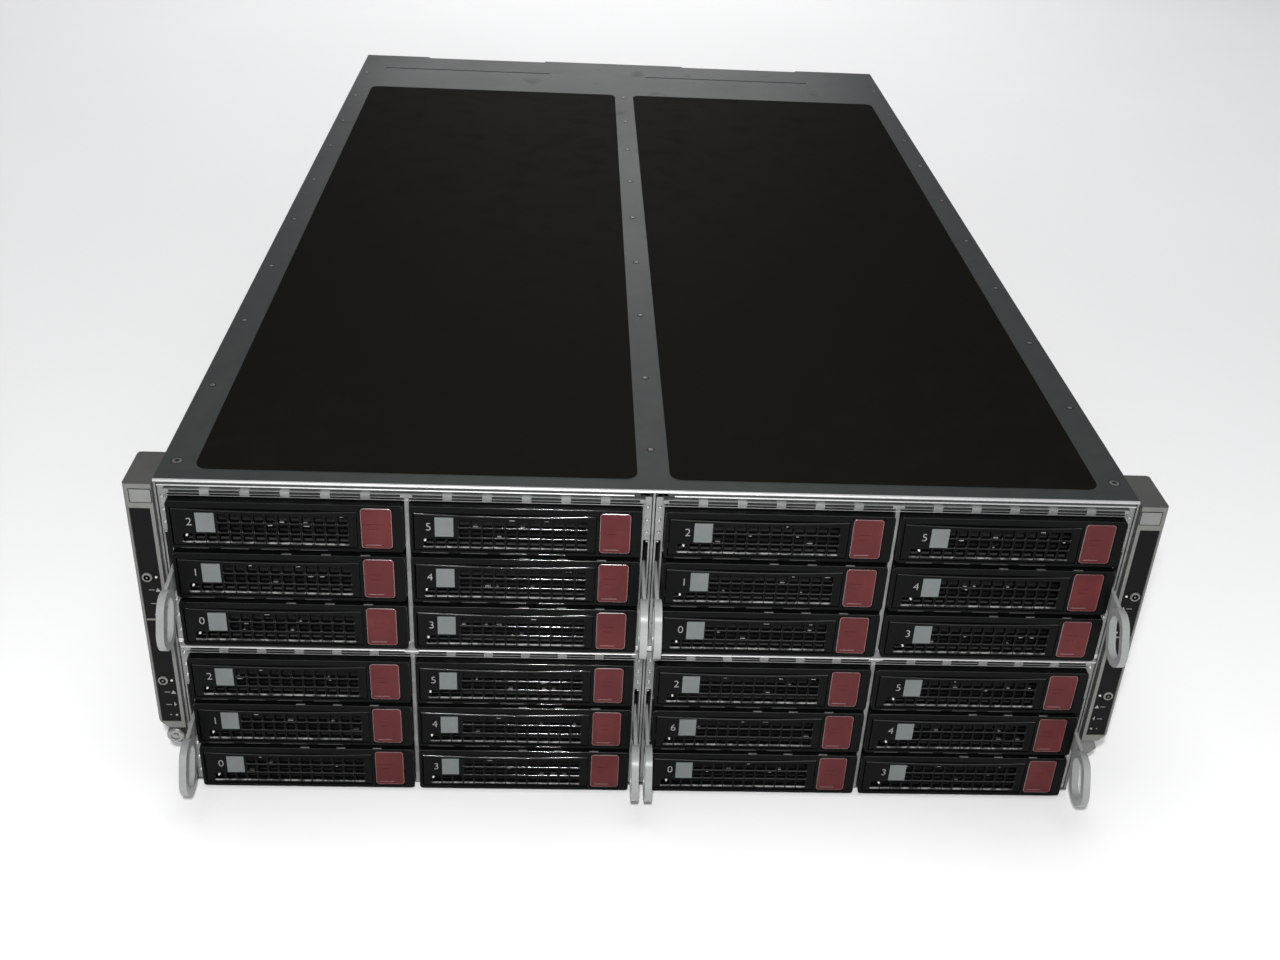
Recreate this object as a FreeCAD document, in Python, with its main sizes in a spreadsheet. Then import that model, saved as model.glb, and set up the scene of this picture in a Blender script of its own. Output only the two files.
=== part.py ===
"""Multi-node storage server: four half-width sleds with 24 drive carriers.

Layout axes while modelling: X to the right, Y to the rear from the front edge
of the cover, Z up from the underside.  Each sub-part is placed with front_y,
which puts the origin under the middle of the whole object.
"""
import FreeCAD, Part
import operator
import os
import Sketcher

SIZES = {
    # chassis sheet metal
    "chassis_depth": 737.0,
    "chassis_wall": 1.2,
    "shelf_thickness": 1.0,
    "shelf_setback": 0.5,
    "headroom": 2.25,
    "lip_gap": 0.35,
    "lip_middle": 6.3,
    "cover_slot_width": 2.0,
    "cover_slot_length": 141.0,
    "cover_slot_side": 20.0,
    "cover_slot_rear": 41.0,
    "cover_notch_length": 102.0,
    "cover_notch_depth": 3.0,
    "cover_notch_side": 54.0,
    "film_thickness": 0.3,
    "film_side": 16.0,
    "film_middle": 7.5,
    "film_front": 10.5,
    "film_rear": 99.0,
    "film_corner": 6.0,
    # rack ears and control panels
    "ear_width": 12.8,
    "ear_front": 3.0,
    "ear_depth": 26.0,
    "ear_bottom": 36.6,
    "ear_top_drop": 0.7,
    "ear_rounding": 1.8,
    "ear_corner": 4.5,
    "panel_width": 9.4,
    "panel_bottom": 40.5,
    "panel_top_drop": 12.6,
    "panel_depth": 0.5,
    "power_button_radius": 2.4,
    "power_button_length": 5.0,
    "power_button_proud": 0.4,
    "power_button_inset": 7.7,
    "power_button_low": 65.6,
    "power_button_high": 125.8,
    "power_button_well": 8.0,
    "flange_bottom": 19.8,
    "flange_front": 5.5,
    "flange_thickness": 2.0,
    "screw_inset": 6.8,
    "screw_head_radius": 4.4,
    "screw_head_length": 5.0,
    "screw_collar_radius": 2.9,
    "screw_shank_radius": 2.4,
    "screw_shank_length": 19.4,
    "screw_slot_width": 1.0,
    "screw_slot_depth": 1.4,
    # sleds
    "sled_gap": 0.4,
    "sled_lift": 0.2,
    "sled_sheet": 0.8,
    "sled_setback": 0.5,
    "sled_end_gap": 1.0,
    "sled_low_side": 42.0,
    "high_side_reach": 16.0,
    "cage_divider": 2.0,
    "cage_tail": 10.2,
    "lever_slot_low": 28.0,
    "lever_slot_high": 61.0,
    "lever_channel": 2.3,
    "row_shelf": 0.8,
    "row_clearance": 0.25,
    "vent_strip": 2.05,
    "vent_tab": 4.4,
    "vent_opening": 13.4,
    "vent_height": 1.35,
    "vent_reach": 2.0,
    # ring levers
    "ring_thickness": 3.5,
    "ring_proud": 2.3,
    "ring_outer_radius": 10.0,
    "ring_inner_radius": 6.3,
    "ring_low_y": 22.0,
    "ring_low_z": 21.8,
    "ring_high_y": 18.5,
    "ring_high_z": 29.0,
    "lever_sheet": 1.7,
    "pivot_y": 6.0,
    "pivot_z": 36.0,
    "pivot_radius": 1.5,
    "strap_half": 4.5,
    "strap_tail": 14.0,
    "strap_reach": 11.0,
    "joint_gap": 0.3,
    # drive carriers
    "drive_width": 101.6,
    "drive_height": 26.1,
    "drive_length": 147.0,
    "drive_front": 6.0,
    "drive_gap": 0.2,
    "bezel_gap": 0.4,
    "bezel_row_gap": 2.6,
    "bezel_depth": 6.0,
    "bezel_drop": 0.3,
    "bezel_border": 1.5,
    "bezel_post": 1.2,
    "latch_top_border": 3.3,
    "rail_thickness": 1.5,
    "rail_height": 20.0,
    "rail_base": 2.0,
    "rail_tail": 1.6,
    "tail_bar_height": 6.0,
    "button_width": 14.1,
    "button_margin": 5.0,
    "button_length": 7.0,
    "button_rim": 1.8,
    "button_dish": 0.6,
    "latch_sheet": 2.2,
    "latch_front": 5.8,
    "latch_bow": 2.2,
    "latch_left_slope": 19.2,
    "latch_right_slope": 3.2,
    "grille_lowest": 1.6,
    "grille_top": 2.3,
    "grille_rail": 1.3,
    "grille_bar": 1.1,
    "grille_bar_depth": 1.0,
    "latch_pin_radius": 0.7,
    "latch_pin_inset": 1.6,
    "latch_end_gap": 0.6,
    # power supplies and their bays
    "supply_width": 54.5,
    "supply_height": 40.0,
    "supply_length": 220.0,
    "supply_gap": 0.5,
    "supply_lift": 0.3,
    "bay_sheet": 1.0,
    "bay_frame_margin": 5.5,
    "bay_vent_side": 4.5,
    "bay_vent_width": 5.5,
    "bay_vent_pitch": 10.0,
    "bay_vent_end": 6.0,
    "inlet_width": 24.0,
    "inlet_height": 16.0,
    "inlet_depth": 14.0,
    "inlet_left": 1.5,
    "inlet_base": 4.0,
    "supply_fan_depth": 3.0,
    "supply_fan_gap": 2.75,
    "supply_fan_side": 1.25,
    "handle_reach": 20.0,
    "handle_strip": 3.0,
    "handle_span": 30.0,
    "handle_width": 3.0,
    "handle_right": 2.5,
    "latch_tab_width": 4.0,
    "latch_tab_height": 9.0,
    "latch_tab_reach": 7.0,
    "midplane_thickness": 2.0,
    "midplane_plug_width": 40.0,
    "midplane_plug_height": 9.0,
    # boards in the sleds
    "backplane_thickness": 1.6,
    "backplane_window_width": 150.0,
    "backplane_window_height": 8.0,
    "fan_depth": 38.0,
    "fan_headroom": 3.4,
    "fan_wall": 2.5,
    "fan_lead": 17.4,
    "fan_gap": 24.0,
    "fan_hub": 15.0,
    "fan_strut": 2.0,
    "board_thickness": 1.6,
    "board_lead": 40.0,
    "board_side": 4.0,
    "board_rear": 12.0,
    "standoff_height": 5.0,
    "standoff_radius": 3.0,
    "heatsink_length": 92.0,
    "heatsink_height": 56.0,
    "heatsink_base": 6.0,
    "heatsink_fin": 4.0,
    "heatsink_gap": 4.5,
    "heatsink_lead": 38.0,
    "heatsink_spacing": 18.0,
    "module_length": 133.0,
    "module_height": 31.0,
    "module_thickness": 4.0,
    "module_pitch": 8.0,
    "module_lead": 58.0,
    "jack_width": 16.0,
    "jack_height": 13.5,
    "jack_depth": 21.0,
    "jack_pitch": 19.0,
    "jack_first": 12.0,
    "jack_wall": 2.0,
    "shield_height": 28.0,
    "port_vent_top": 5.5,
    "port_vent_width": 11.0,
    "port_vent_pitch": 22.0,
    "port_vent_height": 40.0,
}

GRILLE_ROWS = 3
GRILLE_COLUMNS = 11
VENT_TABS = 5
FIN_COUNT = 6
STANDOFF_SIDES = 6
HUB_SIDES = 16
MODULE_COUNT = 4
JACK_COUNT = 3
PORT_VENTS = 6
BAY_VENTS = 5
ROWS = 3

NEARLY_UPRIGHT = 0.99
SAME_PLACE = 0.01

# The carrier whose latch lever and release button are sub-parts of their own
OPEN_CARRIER = "carrier_upper_left_left_3"

doc = FreeCAD.newDocument("storage_server")
sheet = doc.addObject("Spreadsheet::Sheet", "Sizes")
for row, (alias, number) in enumerate(SIZES.items(), 1):
    sheet.set(f"A{row}", alias)
    sheet.set(f"B{row}", str(number))
    sheet.setAlias(f"B{row}", alias)
doc.recompute()

SIGNS = {"+": operator.add, "-": operator.sub, "*": operator.mul, "/": operator.truediv}


class Size:
    """A length, and the expression on the sheet's cells that gives it."""

    def __init__(self, value, text):
        self.value = value
        self.text = text

    def __add__(self, other):
        return joined(self, "+", other)

    def __radd__(self, other):
        return joined(other, "+", self)

    def __sub__(self, other):
        return joined(self, "-", other)

    def __rsub__(self, other):
        return joined(other, "-", self)

    def __mul__(self, other):
        return joined(self, "*", other)

    def __rmul__(self, other):
        return joined(other, "*", self)

    def __truediv__(self, other):
        return joined(self, "/", other)

    def __neg__(self):
        return joined(0.0, "-", self)


def as_size(number):
    if isinstance(number, Size):
        return number
    return Size(float(number), f"({float(number)!r})")


def joined(left, sign, right):
    left = as_size(left)
    right = as_size(right)
    return Size(SIGNS[sign](left.value, right.value), f"({left.text} {sign} {right.text})")


def cell(alias):
    return Size(sheet.get(alias), f"Sizes.{alias}")


class Cells:
    """The sheet's cells by name."""

    def __getattr__(self, alias):
        return cell(alias)


size = Cells()


# Helpers for bodies and outlines

def new_body(name):
    body = doc.addObject("PartDesign::Body", name)
    body.Label = name
    return body


def rectangle(left, right, low, high):
    return [(left, low), (right, low), (right, high), (left, high)]


class Circle:
    def __init__(self, across, up, radius):
        self.centre = (as_size(across), as_size(up))
        self.radius = as_size(radius)


class Capsule:
    """A long round-ended outline between two centres."""

    def __init__(self, first, second, radius):
        self.first = (as_size(first[0]), as_size(first[1]))
        self.second = (as_size(second[0]), as_size(second[1]))
        self.radius = as_size(radius)


def bind(sketch, kind, geometry, point, length):
    length = as_size(length)
    if kind == "Radius":
        constraint = Sketcher.Constraint(kind, geometry, length.value)
    else:
        constraint = Sketcher.Constraint(kind, -1, 1, geometry, point, length.value)
    index = sketch.addConstraint(constraint)
    sketch.setExpression(f"Constraints[{index}]", length.text)


def bind_point(sketch, geometry, point, place):
    bind(sketch, "DistanceX", geometry, point, place[0])
    bind(sketch, "DistanceY", geometry, point, place[1])


def flat(place):
    return FreeCAD.Vector(as_size(place[0]).value, as_size(place[1]).value, 0)


def add_polygon(sketch, corners):
    first = sketch.GeometryCount
    count = len(corners)
    for index, corner in enumerate(corners):
        following = corners[(index + 1) % count]
        sketch.addGeometry(Part.LineSegment(flat(corner), flat(following)))
    for index in range(count):
        following = first + (index + 1) % count
        sketch.addConstraint(Sketcher.Constraint("Coincident", first + index, 2, following, 1))
    for index, corner in enumerate(corners):
        bind_point(sketch, first + index, 1, corner)


def add_circle(sketch, circle):
    centre = flat(circle.centre)
    up = FreeCAD.Vector(0, 0, 1)
    geometry = sketch.addGeometry(Part.Circle(centre, up, circle.radius.value))
    bind_point(sketch, geometry, 3, circle.centre)
    bind(sketch, "Radius", geometry, 0, circle.radius)


def add_capsule(sketch, capsule):
    start = flat(capsule.first)
    end = flat(capsule.second)
    along = (end - start).normalize()
    side = FreeCAD.Vector(-along.y, along.x, 0) * capsule.radius.value
    reach = along * capsule.radius.value
    edges = [
        Part.Arc(start + side, start - reach, start - side),
        Part.LineSegment(start - side, end - side),
        Part.Arc(end - side, end + reach, end + side),
        Part.LineSegment(end + side, start + side),
    ]
    first = sketch.GeometryCount
    for edge in edges:
        sketch.addGeometry(edge)
    for index in range(4):
        following = first + (index + 1) % 4
        sketch.addConstraint(Sketcher.Constraint("Tangent", first + index, 2, following, 1))
    bind_point(sketch, first, 3, capsule.first)
    bind_point(sketch, first + 2, 3, capsule.second)
    bind(sketch, "Radius", first, 0, capsule.radius)
    bind(sketch, "Radius", first + 2, 0, capsule.radius)


def sketch_on(body, plane, start, outlines):
    """Draw closed outlines on a plane of the body's own, moved to start."""
    sketch = body.newObject("Sketcher::SketchObject", f"{body.Name}_outline")
    support = next(item for item in body.Origin.OriginFeatures if item.Role == plane)
    sketch.AttachmentSupport = (support, [""])
    sketch.MapMode = "FlatFace"
    shift = -start if plane == "XZ_Plane" else start
    sketch.setExpression("AttachmentOffset.Base.z", as_size(shift).text)
    for outline in outlines:
        if isinstance(outline, Circle):
            add_circle(sketch, outline)
        elif isinstance(outline, Capsule):
            add_capsule(sketch, outline)
        else:
            add_polygon(sketch, outline)
    sketch.Visibility = False
    return sketch


def extrude(body, kind, plane, outlines, start, end):
    """Add or cut the outlines from start to end along +X, +Y or +Z."""
    start = as_size(start)
    feature = body.newObject(f"PartDesign::{kind}", f"{body.Name}_{kind.lower()}")
    feature.Profile = sketch_on(body, plane, start, outlines)
    along_normal = plane != "XZ_Plane"
    feature.Reversed = along_normal if kind == "Pocket" else not along_normal
    feature.setExpression("Length", (as_size(end) - start).text)
    body.Tip = feature
    return feature


def pad(body, plane, outlines, start, end):
    return extrude(body, "Pad", plane, outlines, start, end)


def pocket(body, plane, outlines, start, end):
    """Cut the outlines out, and make sure that the cut meets the solid."""
    doc.recompute()
    before = body.Shape.Volume
    feature = extrude(body, "Pocket", plane, outlines, start, end)
    doc.recompute()
    if not body.Shape.Volume < before:
        raise ValueError(f"a pocket of {body.Label} cuts nothing")
    return feature


def place(item, across, back, up):
    for letter, length in zip("xyz", (across, back, up)):
        item.setExpression(f"Placement.Base.{letter}", as_size(length).text)
    return item


def block(name, left, right, front, back, low, high):
    box = doc.addObject("Part::Box", name)
    for side, low_end, high_end in (
        ("Length", left, right),
        ("Width", front, back),
        ("Height", low, high),
    ):
        box.setExpression(side, (as_size(high_end) - low_end).text)
    return place(box, left, front, low)


def rod(name, turn_axis, turn, radius, length, across, back, up):
    cylinder = doc.addObject("Part::Cylinder", name)
    cylinder.Placement = FreeCAD.Placement(FreeCAD.Vector(), FreeCAD.Rotation(turn_axis, turn))
    cylinder.setExpression("Radius", as_size(radius).text)
    cylinder.setExpression("Height", as_size(length).text)
    return place(cylinder, across, back, up)


def rod_along_x(name, radius, left, right, back, up):
    turn_axis = FreeCAD.Vector(0, 1, 0)
    return rod(name, turn_axis, 90, radius, as_size(right) - left, left, back, up)


def rod_along_z(name, radius, low, high, across, back):
    turn_axis = FreeCAD.Vector(0, 0, 1)
    return rod(name, turn_axis, 0, radius, as_size(high) - low, across, back, low)


def prism(name, sides, radius, length):
    """An upright bar with flat sides."""
    bar = doc.addObject("Part::Prism", name)
    bar.Polygon = sides
    bar.setExpression("Circumradius", as_size(radius).text)
    bar.setExpression("Height", as_size(length).text)
    return bar


def mirrored(name, source):
    mirror = doc.addObject("Part::Mirroring", name)
    mirror.Source = source
    mirror.Normal = FreeCAD.Vector(1, 0, 0)
    return mirror


nodes = []


def keep(item, label, across=0.0, up=0.0):
    """Make an item a sub-part of the server, at its place in the whole."""
    item.Label = label
    place(item, across, front_y, up)
    nodes.append(item)
    return item


def keep_group(label, items, across=0.0, up=0.0):
    """Make a sub-part of several solids that are drawn once and used again."""
    group = doc.addObject("Part::Compound", label)
    group.Links = items
    return keep(group, label, across, up)


# Places that several pieces share

bezel_half = size.drive_width / 2 + size.drive_gap + size.rail_thickness
column_width = 2 * (bezel_half + size.bezel_gap)
cage_inner = column_width + size.cage_divider / 2
column_centre = (column_width + size.cage_divider) / 2
channel_inner = cage_inner + size.sled_sheet
sled_half = channel_inner + size.lever_channel + size.sled_sheet
bay_width = 2 * (sled_half + size.sled_gap)
bay_centre = (bay_width + size.chassis_wall) / 2
half_width = bay_width + 3 * size.chassis_wall / 2

row_pitch = size.drive_height + size.row_shelf + 2 * size.row_clearance


def row_base(index):
    """Underside of the drives in a row, counted from the bottom."""
    return size.sled_sheet + size.drive_gap + index * row_pitch


def row_low(index):
    return row_base(index) - size.row_clearance


def row_high(index):
    return row_base(index) + size.drive_height + size.row_clearance


cage_top = row_high(ROWS - 1)
sled_height = cage_top + size.vent_strip
storey = size.sled_lift + sled_height + size.headroom
shelf_level = size.chassis_wall + storey + size.shelf_thickness
cover_base = shelf_level + storey
chassis_height = cover_base + size.chassis_wall
lip_drop = size.headroom - size.lip_gap
bays = (
    ("upper_left", -bay_centre, shelf_level),
    ("upper_right", bay_centre, shelf_level),
    ("lower_left", -bay_centre, size.chassis_wall),
    ("lower_right", bay_centre, size.chassis_wall),
)

drive_end = size.drive_front + size.drive_length
rail_end = drive_end + size.drive_gap + size.rail_tail
cage_depth = rail_end + size.cage_tail
fan_start = cage_depth + size.backplane_thickness + size.fan_lead
fan_end = fan_start + size.fan_depth
board_start = fan_end + size.board_lead
sled_rear = size.chassis_depth - size.sled_end_gap
supply_zone = size.supply_width + 2 * size.supply_gap
supply_front = size.chassis_depth - size.supply_length
midplane_back = supply_front - size.supply_gap - size.midplane_plug_height
midplane_front = midplane_back - size.midplane_thickness
bay_frame_start = midplane_front - size.bay_frame_margin
step_y = bay_frame_start - size.sled_gap
wing_right = bay_width / 2 - supply_zone - size.bay_sheet - size.sled_gap
front_reach = size.ring_low_y + size.ring_outer_radius
front_y = (front_reach - size.chassis_depth - size.handle_reach) / 2


def build_chassis():
    inner = half_width - size.chassis_wall
    depth = size.chassis_depth
    floor = block("tub_floor", -half_width, half_width, 0.0, depth, 0.0, size.chassis_wall)
    side = block("tub_side", inner, half_width, 0.0, depth, size.chassis_wall, cover_base)
    keep_group("chassis_tub", [floor, side, mirrored("tub_side_left", side)])

    cover = new_body("top_cover")
    sheet_outline = rectangle(-half_width, half_width, 0.0, size.chassis_depth)
    pad(cover, "XY_Plane", [sheet_outline], cover_base, chassis_height)
    lip_half = inner - size.sled_gap
    lip_low = cover_base - lip_drop
    lips = [
        rectangle(-lip_half, -size.lip_middle, lip_low, cover_base),
        rectangle(size.lip_middle, lip_half, lip_low, cover_base),
    ]
    pad(cover, "XZ_Plane", lips, 0.0, size.chassis_wall)
    cuts = []
    for start in (-half_width, 0.0):
        slot_left = start + size.cover_slot_side
        slot_front = size.chassis_depth - size.cover_slot_rear
        slot_right = slot_left + size.cover_slot_length
        cuts.append(rectangle(slot_left, slot_right, slot_front, slot_front + size.cover_slot_width))
        notch_left = start + size.cover_notch_side
        notch_right = notch_left + size.cover_notch_length
        notch_front = size.chassis_depth - size.cover_notch_depth
        notch_end = size.chassis_depth + size.sled_gap
        cuts.append(rectangle(notch_left, notch_right, notch_front, notch_end))
    pocket(cover, "XY_Plane", cuts, cover_base, chassis_height)
    keep(cover, "top_cover")

    film = new_body("film")
    film_right = half_width - size.film_side
    film_end = size.chassis_depth - size.film_rear
    film_outline = rectangle(size.film_middle, film_right, size.film_front, film_end)
    film_top = chassis_height + size.film_thickness
    sheet_pad = pad(film, "XY_Plane", [film_outline], chassis_height, film_top)
    round_upright_edges(film, sheet_pad, size.film_corner)
    keep_group("cover_films", [film, mirrored("film_left", film)])

    wall_half = size.chassis_wall / 2
    wall = new_body("centre_wall")
    wall_plan = rectangle(-wall_half, wall_half, size.shelf_setback, sled_rear)
    pad(wall, "XY_Plane", [wall_plan], size.chassis_wall, cover_base)
    keep(wall, "centre_wall")

    shelf = new_body("shelf_right")
    shelf_base = shelf_level - size.shelf_thickness
    lip_back = size.shelf_setback + size.shelf_thickness
    lip_base = shelf_base - lip_drop
    shelf_section = [
        (size.shelf_setback, lip_base),
        (lip_back, lip_base),
        (lip_back, shelf_base),
        (sled_rear, shelf_base),
        (sled_rear, shelf_level),
        (size.shelf_setback, shelf_level),
    ]
    pad(shelf, "YZ_Plane", [shelf_section], wall_half, wall_half + bay_width)
    keep_group("mid_shelves", [shelf, mirrored("shelf_left", shelf)])


def round_upright_edges(body, feature, radius):
    """Round the edges that run straight up."""
    doc.recompute()
    names = []
    for index, edge in enumerate(feature.Shape.Edges, 1):
        direction = edge.tangentAt(edge.FirstParameter)
        if abs(direction.z) > NEARLY_UPRIGHT:
            names.append(f"Edge{index}")
    fillet = body.newObject("PartDesign::Fillet", f"{body.Name}_rounding")
    fillet.Base = (feature, names)
    fillet.setExpression("Radius", radius.text)
    body.Tip = fillet


def build_ear():
    """An ear as it stands on the right-hand side."""
    ear = new_body("ear")
    outer = half_width + size.ear_width
    ear_top = chassis_height - size.ear_top_drop
    corner = size.ear_corner
    face = [
        (half_width, size.ear_bottom),
        (outer - corner, size.ear_bottom),
        (outer, size.ear_bottom + corner),
        (outer, ear_top),
        (half_width, ear_top),
    ]
    block_pad = pad(ear, "XZ_Plane", [face], -size.ear_front, size.ear_depth)
    doc.recompute()
    names = []
    for index, edge in enumerate(block_pad.Shape.Edges, 1):
        middle = edge.BoundBox.Center
        upright = edge.BoundBox.ZLength > ear_top.value / 2
        if upright and abs(middle.x - outer.value) < SAME_PLACE:
            names.append(f"Edge{index}")
    rounding = ear.newObject("PartDesign::Fillet", "ear_rounding")
    rounding.Base = (block_pad, names)
    rounding.setExpression("Radius", size.ear_rounding.text)
    ear.Tip = rounding
    flange_back = size.flange_front + size.flange_thickness
    flange = [
        (half_width, size.flange_bottom),
        (outer - corner, size.flange_bottom),
        (outer, size.flange_bottom + corner),
        (outer - corner, size.ear_bottom),
        (half_width, size.ear_bottom),
    ]
    pad(ear, "XZ_Plane", [flange], size.flange_front, flange_back)
    panel_middle = half_width + size.ear_width / 2
    panel_half = size.panel_width / 2
    panel_left = panel_middle - panel_half
    panel_right = panel_left + size.panel_width
    panel_top = ear_top - size.panel_top_drop
    panel = rectangle(panel_left, panel_right, size.panel_bottom, panel_top)
    panel_floor = size.panel_depth - size.ear_front
    pocket(ear, "XZ_Plane", [panel], -size.ear_front, panel_floor)
    wells = []
    for level in (size.power_button_low, size.power_button_high):
        radius = size.power_button_radius + size.joint_gap
        wells.append(Circle(half_width + size.power_button_inset, level, radius))
    pocket(ear, "XZ_Plane", wells, panel_floor, panel_floor + size.power_button_well)
    return ear


def build_ears():
    right = build_ear()
    left = build_ear()
    hole_radius = size.screw_collar_radius + size.joint_gap
    screw_level = (size.flange_bottom + size.ear_bottom) / 2
    hole = Circle(half_width + size.screw_inset, screw_level, hole_radius)
    flange_back = size.flange_front + size.flange_thickness
    pocket(left, "XZ_Plane", [hole], size.flange_front, flange_back)
    keep(right, "ear_right")
    keep_group("ear_left", [mirrored("ear_left_turned", left)])

    screw_x = -half_width - size.screw_inset
    head_back = size.flange_front - size.joint_gap
    head_front = head_back - size.screw_head_length
    screw = new_body("rack_thumbscrew")
    head = Circle(screw_x, screw_level, size.screw_head_radius)
    collar = Circle(screw_x, screw_level, size.screw_collar_radius)
    shank = Circle(screw_x, screw_level, size.screw_shank_radius)
    collar_back = flange_back + size.joint_gap
    pad(screw, "XZ_Plane", [head], head_front, head_back)
    pad(screw, "XZ_Plane", [collar], head_back, collar_back)
    pad(screw, "XZ_Plane", [shank], collar_back, collar_back + size.screw_shank_length)
    slot_half = size.screw_slot_width / 2
    reach = size.screw_head_radius + size.joint_gap
    slot = rectangle(
        screw_x - slot_half,
        screw_x + slot_half,
        screw_level - reach,
        screw_level + reach,
    )
    pocket(screw, "XZ_Plane", [slot], head_front, head_front + size.screw_slot_depth)
    keep(screw, "rack_thumbscrew")

    button = new_body("power_button")
    front = -size.ear_front - size.power_button_proud
    cap = Circle(0.0, 0.0, size.power_button_radius)
    pad(button, "XZ_Plane", [cap], front, front + size.power_button_length)
    button_x = half_width + size.power_button_inset
    for side, across in (("left", -button_x), ("right", button_x)):
        for height, level in (("upper", size.power_button_high), ("lower", size.power_button_low)):
            keep_group(f"power_button_{side}_{height}", [button], across, level)


panel_front = sled_rear - size.sled_sheet


def build_sled_floor():
    floor = new_body("sled_floor")
    plan = [
        (-sled_half, size.sled_setback),
        (sled_half, size.sled_setback),
        (sled_half, step_y),
        (wing_right, step_y),
        (wing_right, sled_rear),
        (-sled_half, sled_rear),
    ]
    pad(floor, "XY_Plane", [plan], 0.0, size.sled_sheet)
    return floor


def build_sled_side(name, end):
    """Right-hand side wall, with a front flange that is slotted for the ring lever."""
    wall = new_body(name)
    sheet_low = size.sled_sheet
    high_end = fan_start + size.high_side_reach
    profile = [
        (size.sled_setback, sheet_low),
        (end, sheet_low),
        (end, size.sled_low_side),
        (high_end, size.sled_low_side),
        (high_end, sled_height),
        (size.sled_setback, sled_height),
    ]
    inner = sled_half - size.sled_sheet
    pad(wall, "YZ_Plane", [profile], inner, sled_half)
    flange = [
        rectangle(channel_inner, inner, sheet_low, size.lever_slot_low),
        rectangle(channel_inner, inner, size.lever_slot_high, sled_height),
    ]
    pad(wall, "XZ_Plane", flange, size.sled_setback, size.sled_setback + size.sled_sheet)
    return wall


def build_sled_corner():
    """Low wall round the corner that the power supply takes from the sled."""
    corner = new_body("sled_corner")
    sheet_low = size.sled_sheet
    side = sled_half - sheet_low
    plan = [
        (wing_right - sheet_low, step_y - sheet_low),
        (side, step_y - sheet_low),
        (side, step_y),
        (wing_right, step_y),
        (wing_right, panel_front),
        (wing_right - sheet_low, panel_front),
    ]
    pad(corner, "XY_Plane", [plan], sheet_low, size.sled_low_side)
    return corner


def build_vent_panel():
    panel = new_body("vent_panel")
    shield_top = size.sled_sheet + size.shield_height
    plate = rectangle(-sled_half, wing_right, shield_top, sled_height)
    pad(panel, "XZ_Plane", [plate], panel_front, sled_rear)
    vents = []
    vent_high = sled_height - size.port_vent_top
    vent_low = vent_high - size.port_vent_height
    for index in range(PORT_VENTS):
        vent_left = jack_left(0) + index * size.port_vent_pitch
        vents.append(rectangle(vent_left, vent_left + size.port_vent_width, vent_low, vent_high))
    pocket(panel, "XZ_Plane", vents, panel_front, sled_rear)
    return panel


def build_port_shield():
    """Plate under the vents, cut out for the network jacks."""
    shield = new_body("port_shield")
    shield_top = size.sled_sheet + size.shield_height
    plate = rectangle(-sled_half, wing_right, size.sled_sheet, shield_top)
    pad(shield, "XZ_Plane", [plate], panel_front, sled_rear)
    cuts = []
    gap = size.joint_gap
    for index in range(JACK_COUNT):
        left = jack_left(index) - gap
        right = jack_left(index) + size.jack_width + gap
        cuts.append(rectangle(left, right, jack_base() - gap, jack_base() + size.jack_height + gap))
    pocket(shield, "XZ_Plane", cuts, panel_front, sled_rear)
    return shield


def jack_left(index):
    return -sled_half + size.jack_first + index * size.jack_pitch


def jack_base():
    return size.sled_sheet + size.standoff_height + size.board_thickness


def build_drive_cage():
    """Walls, divider and shelves of the drive cage, as the sheets that it is made of."""
    half = size.cage_divider / 2
    floor = size.sled_sheet
    front = size.sled_setback + size.joint_gap
    wall = block("cage_wall", cage_inner, channel_inner, front, cage_depth, floor, cage_top)
    divider = block("cage_divider", -half, half, front, cage_depth, floor, cage_top)
    sheets = [wall, mirrored("cage_wall_left", wall), divider]
    for index in range(1, ROWS):
        name = f"cage_shelf_{index}"
        low = row_high(index - 1)
        high = row_low(index)
        shelf = block(name, half, cage_inner, front, cage_depth, low, high)
        sheets += [shelf, mirrored(f"{name}_left", shelf)]
    return sheets


def build_vent_strip():
    """Slotted strip across the front, over the top row."""
    strip = new_body("vent_strip")
    front = -size.vent_reach
    back = size.sled_setback + size.joint_gap + size.sled_sheet
    face = rectangle(-channel_inner, channel_inner, cage_top, sled_height)
    pad(strip, "XZ_Plane", [face], front, back)
    vents = []
    vent_pitch = size.vent_tab + size.vent_opening
    vent_run = VENT_TABS * vent_pitch + size.vent_opening
    vent_low = (cage_top + sled_height - size.vent_height) / 2
    for middle in (-column_centre, column_centre):
        for index in range(VENT_TABS + 1):
            vent_left = middle - vent_run / 2 + index * vent_pitch
            vent_right = vent_left + size.vent_opening
            vents.append(rectangle(vent_left, vent_right, vent_low, vent_low + size.vent_height))
    pocket(strip, "XZ_Plane", vents, front, back)
    return strip


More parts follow.
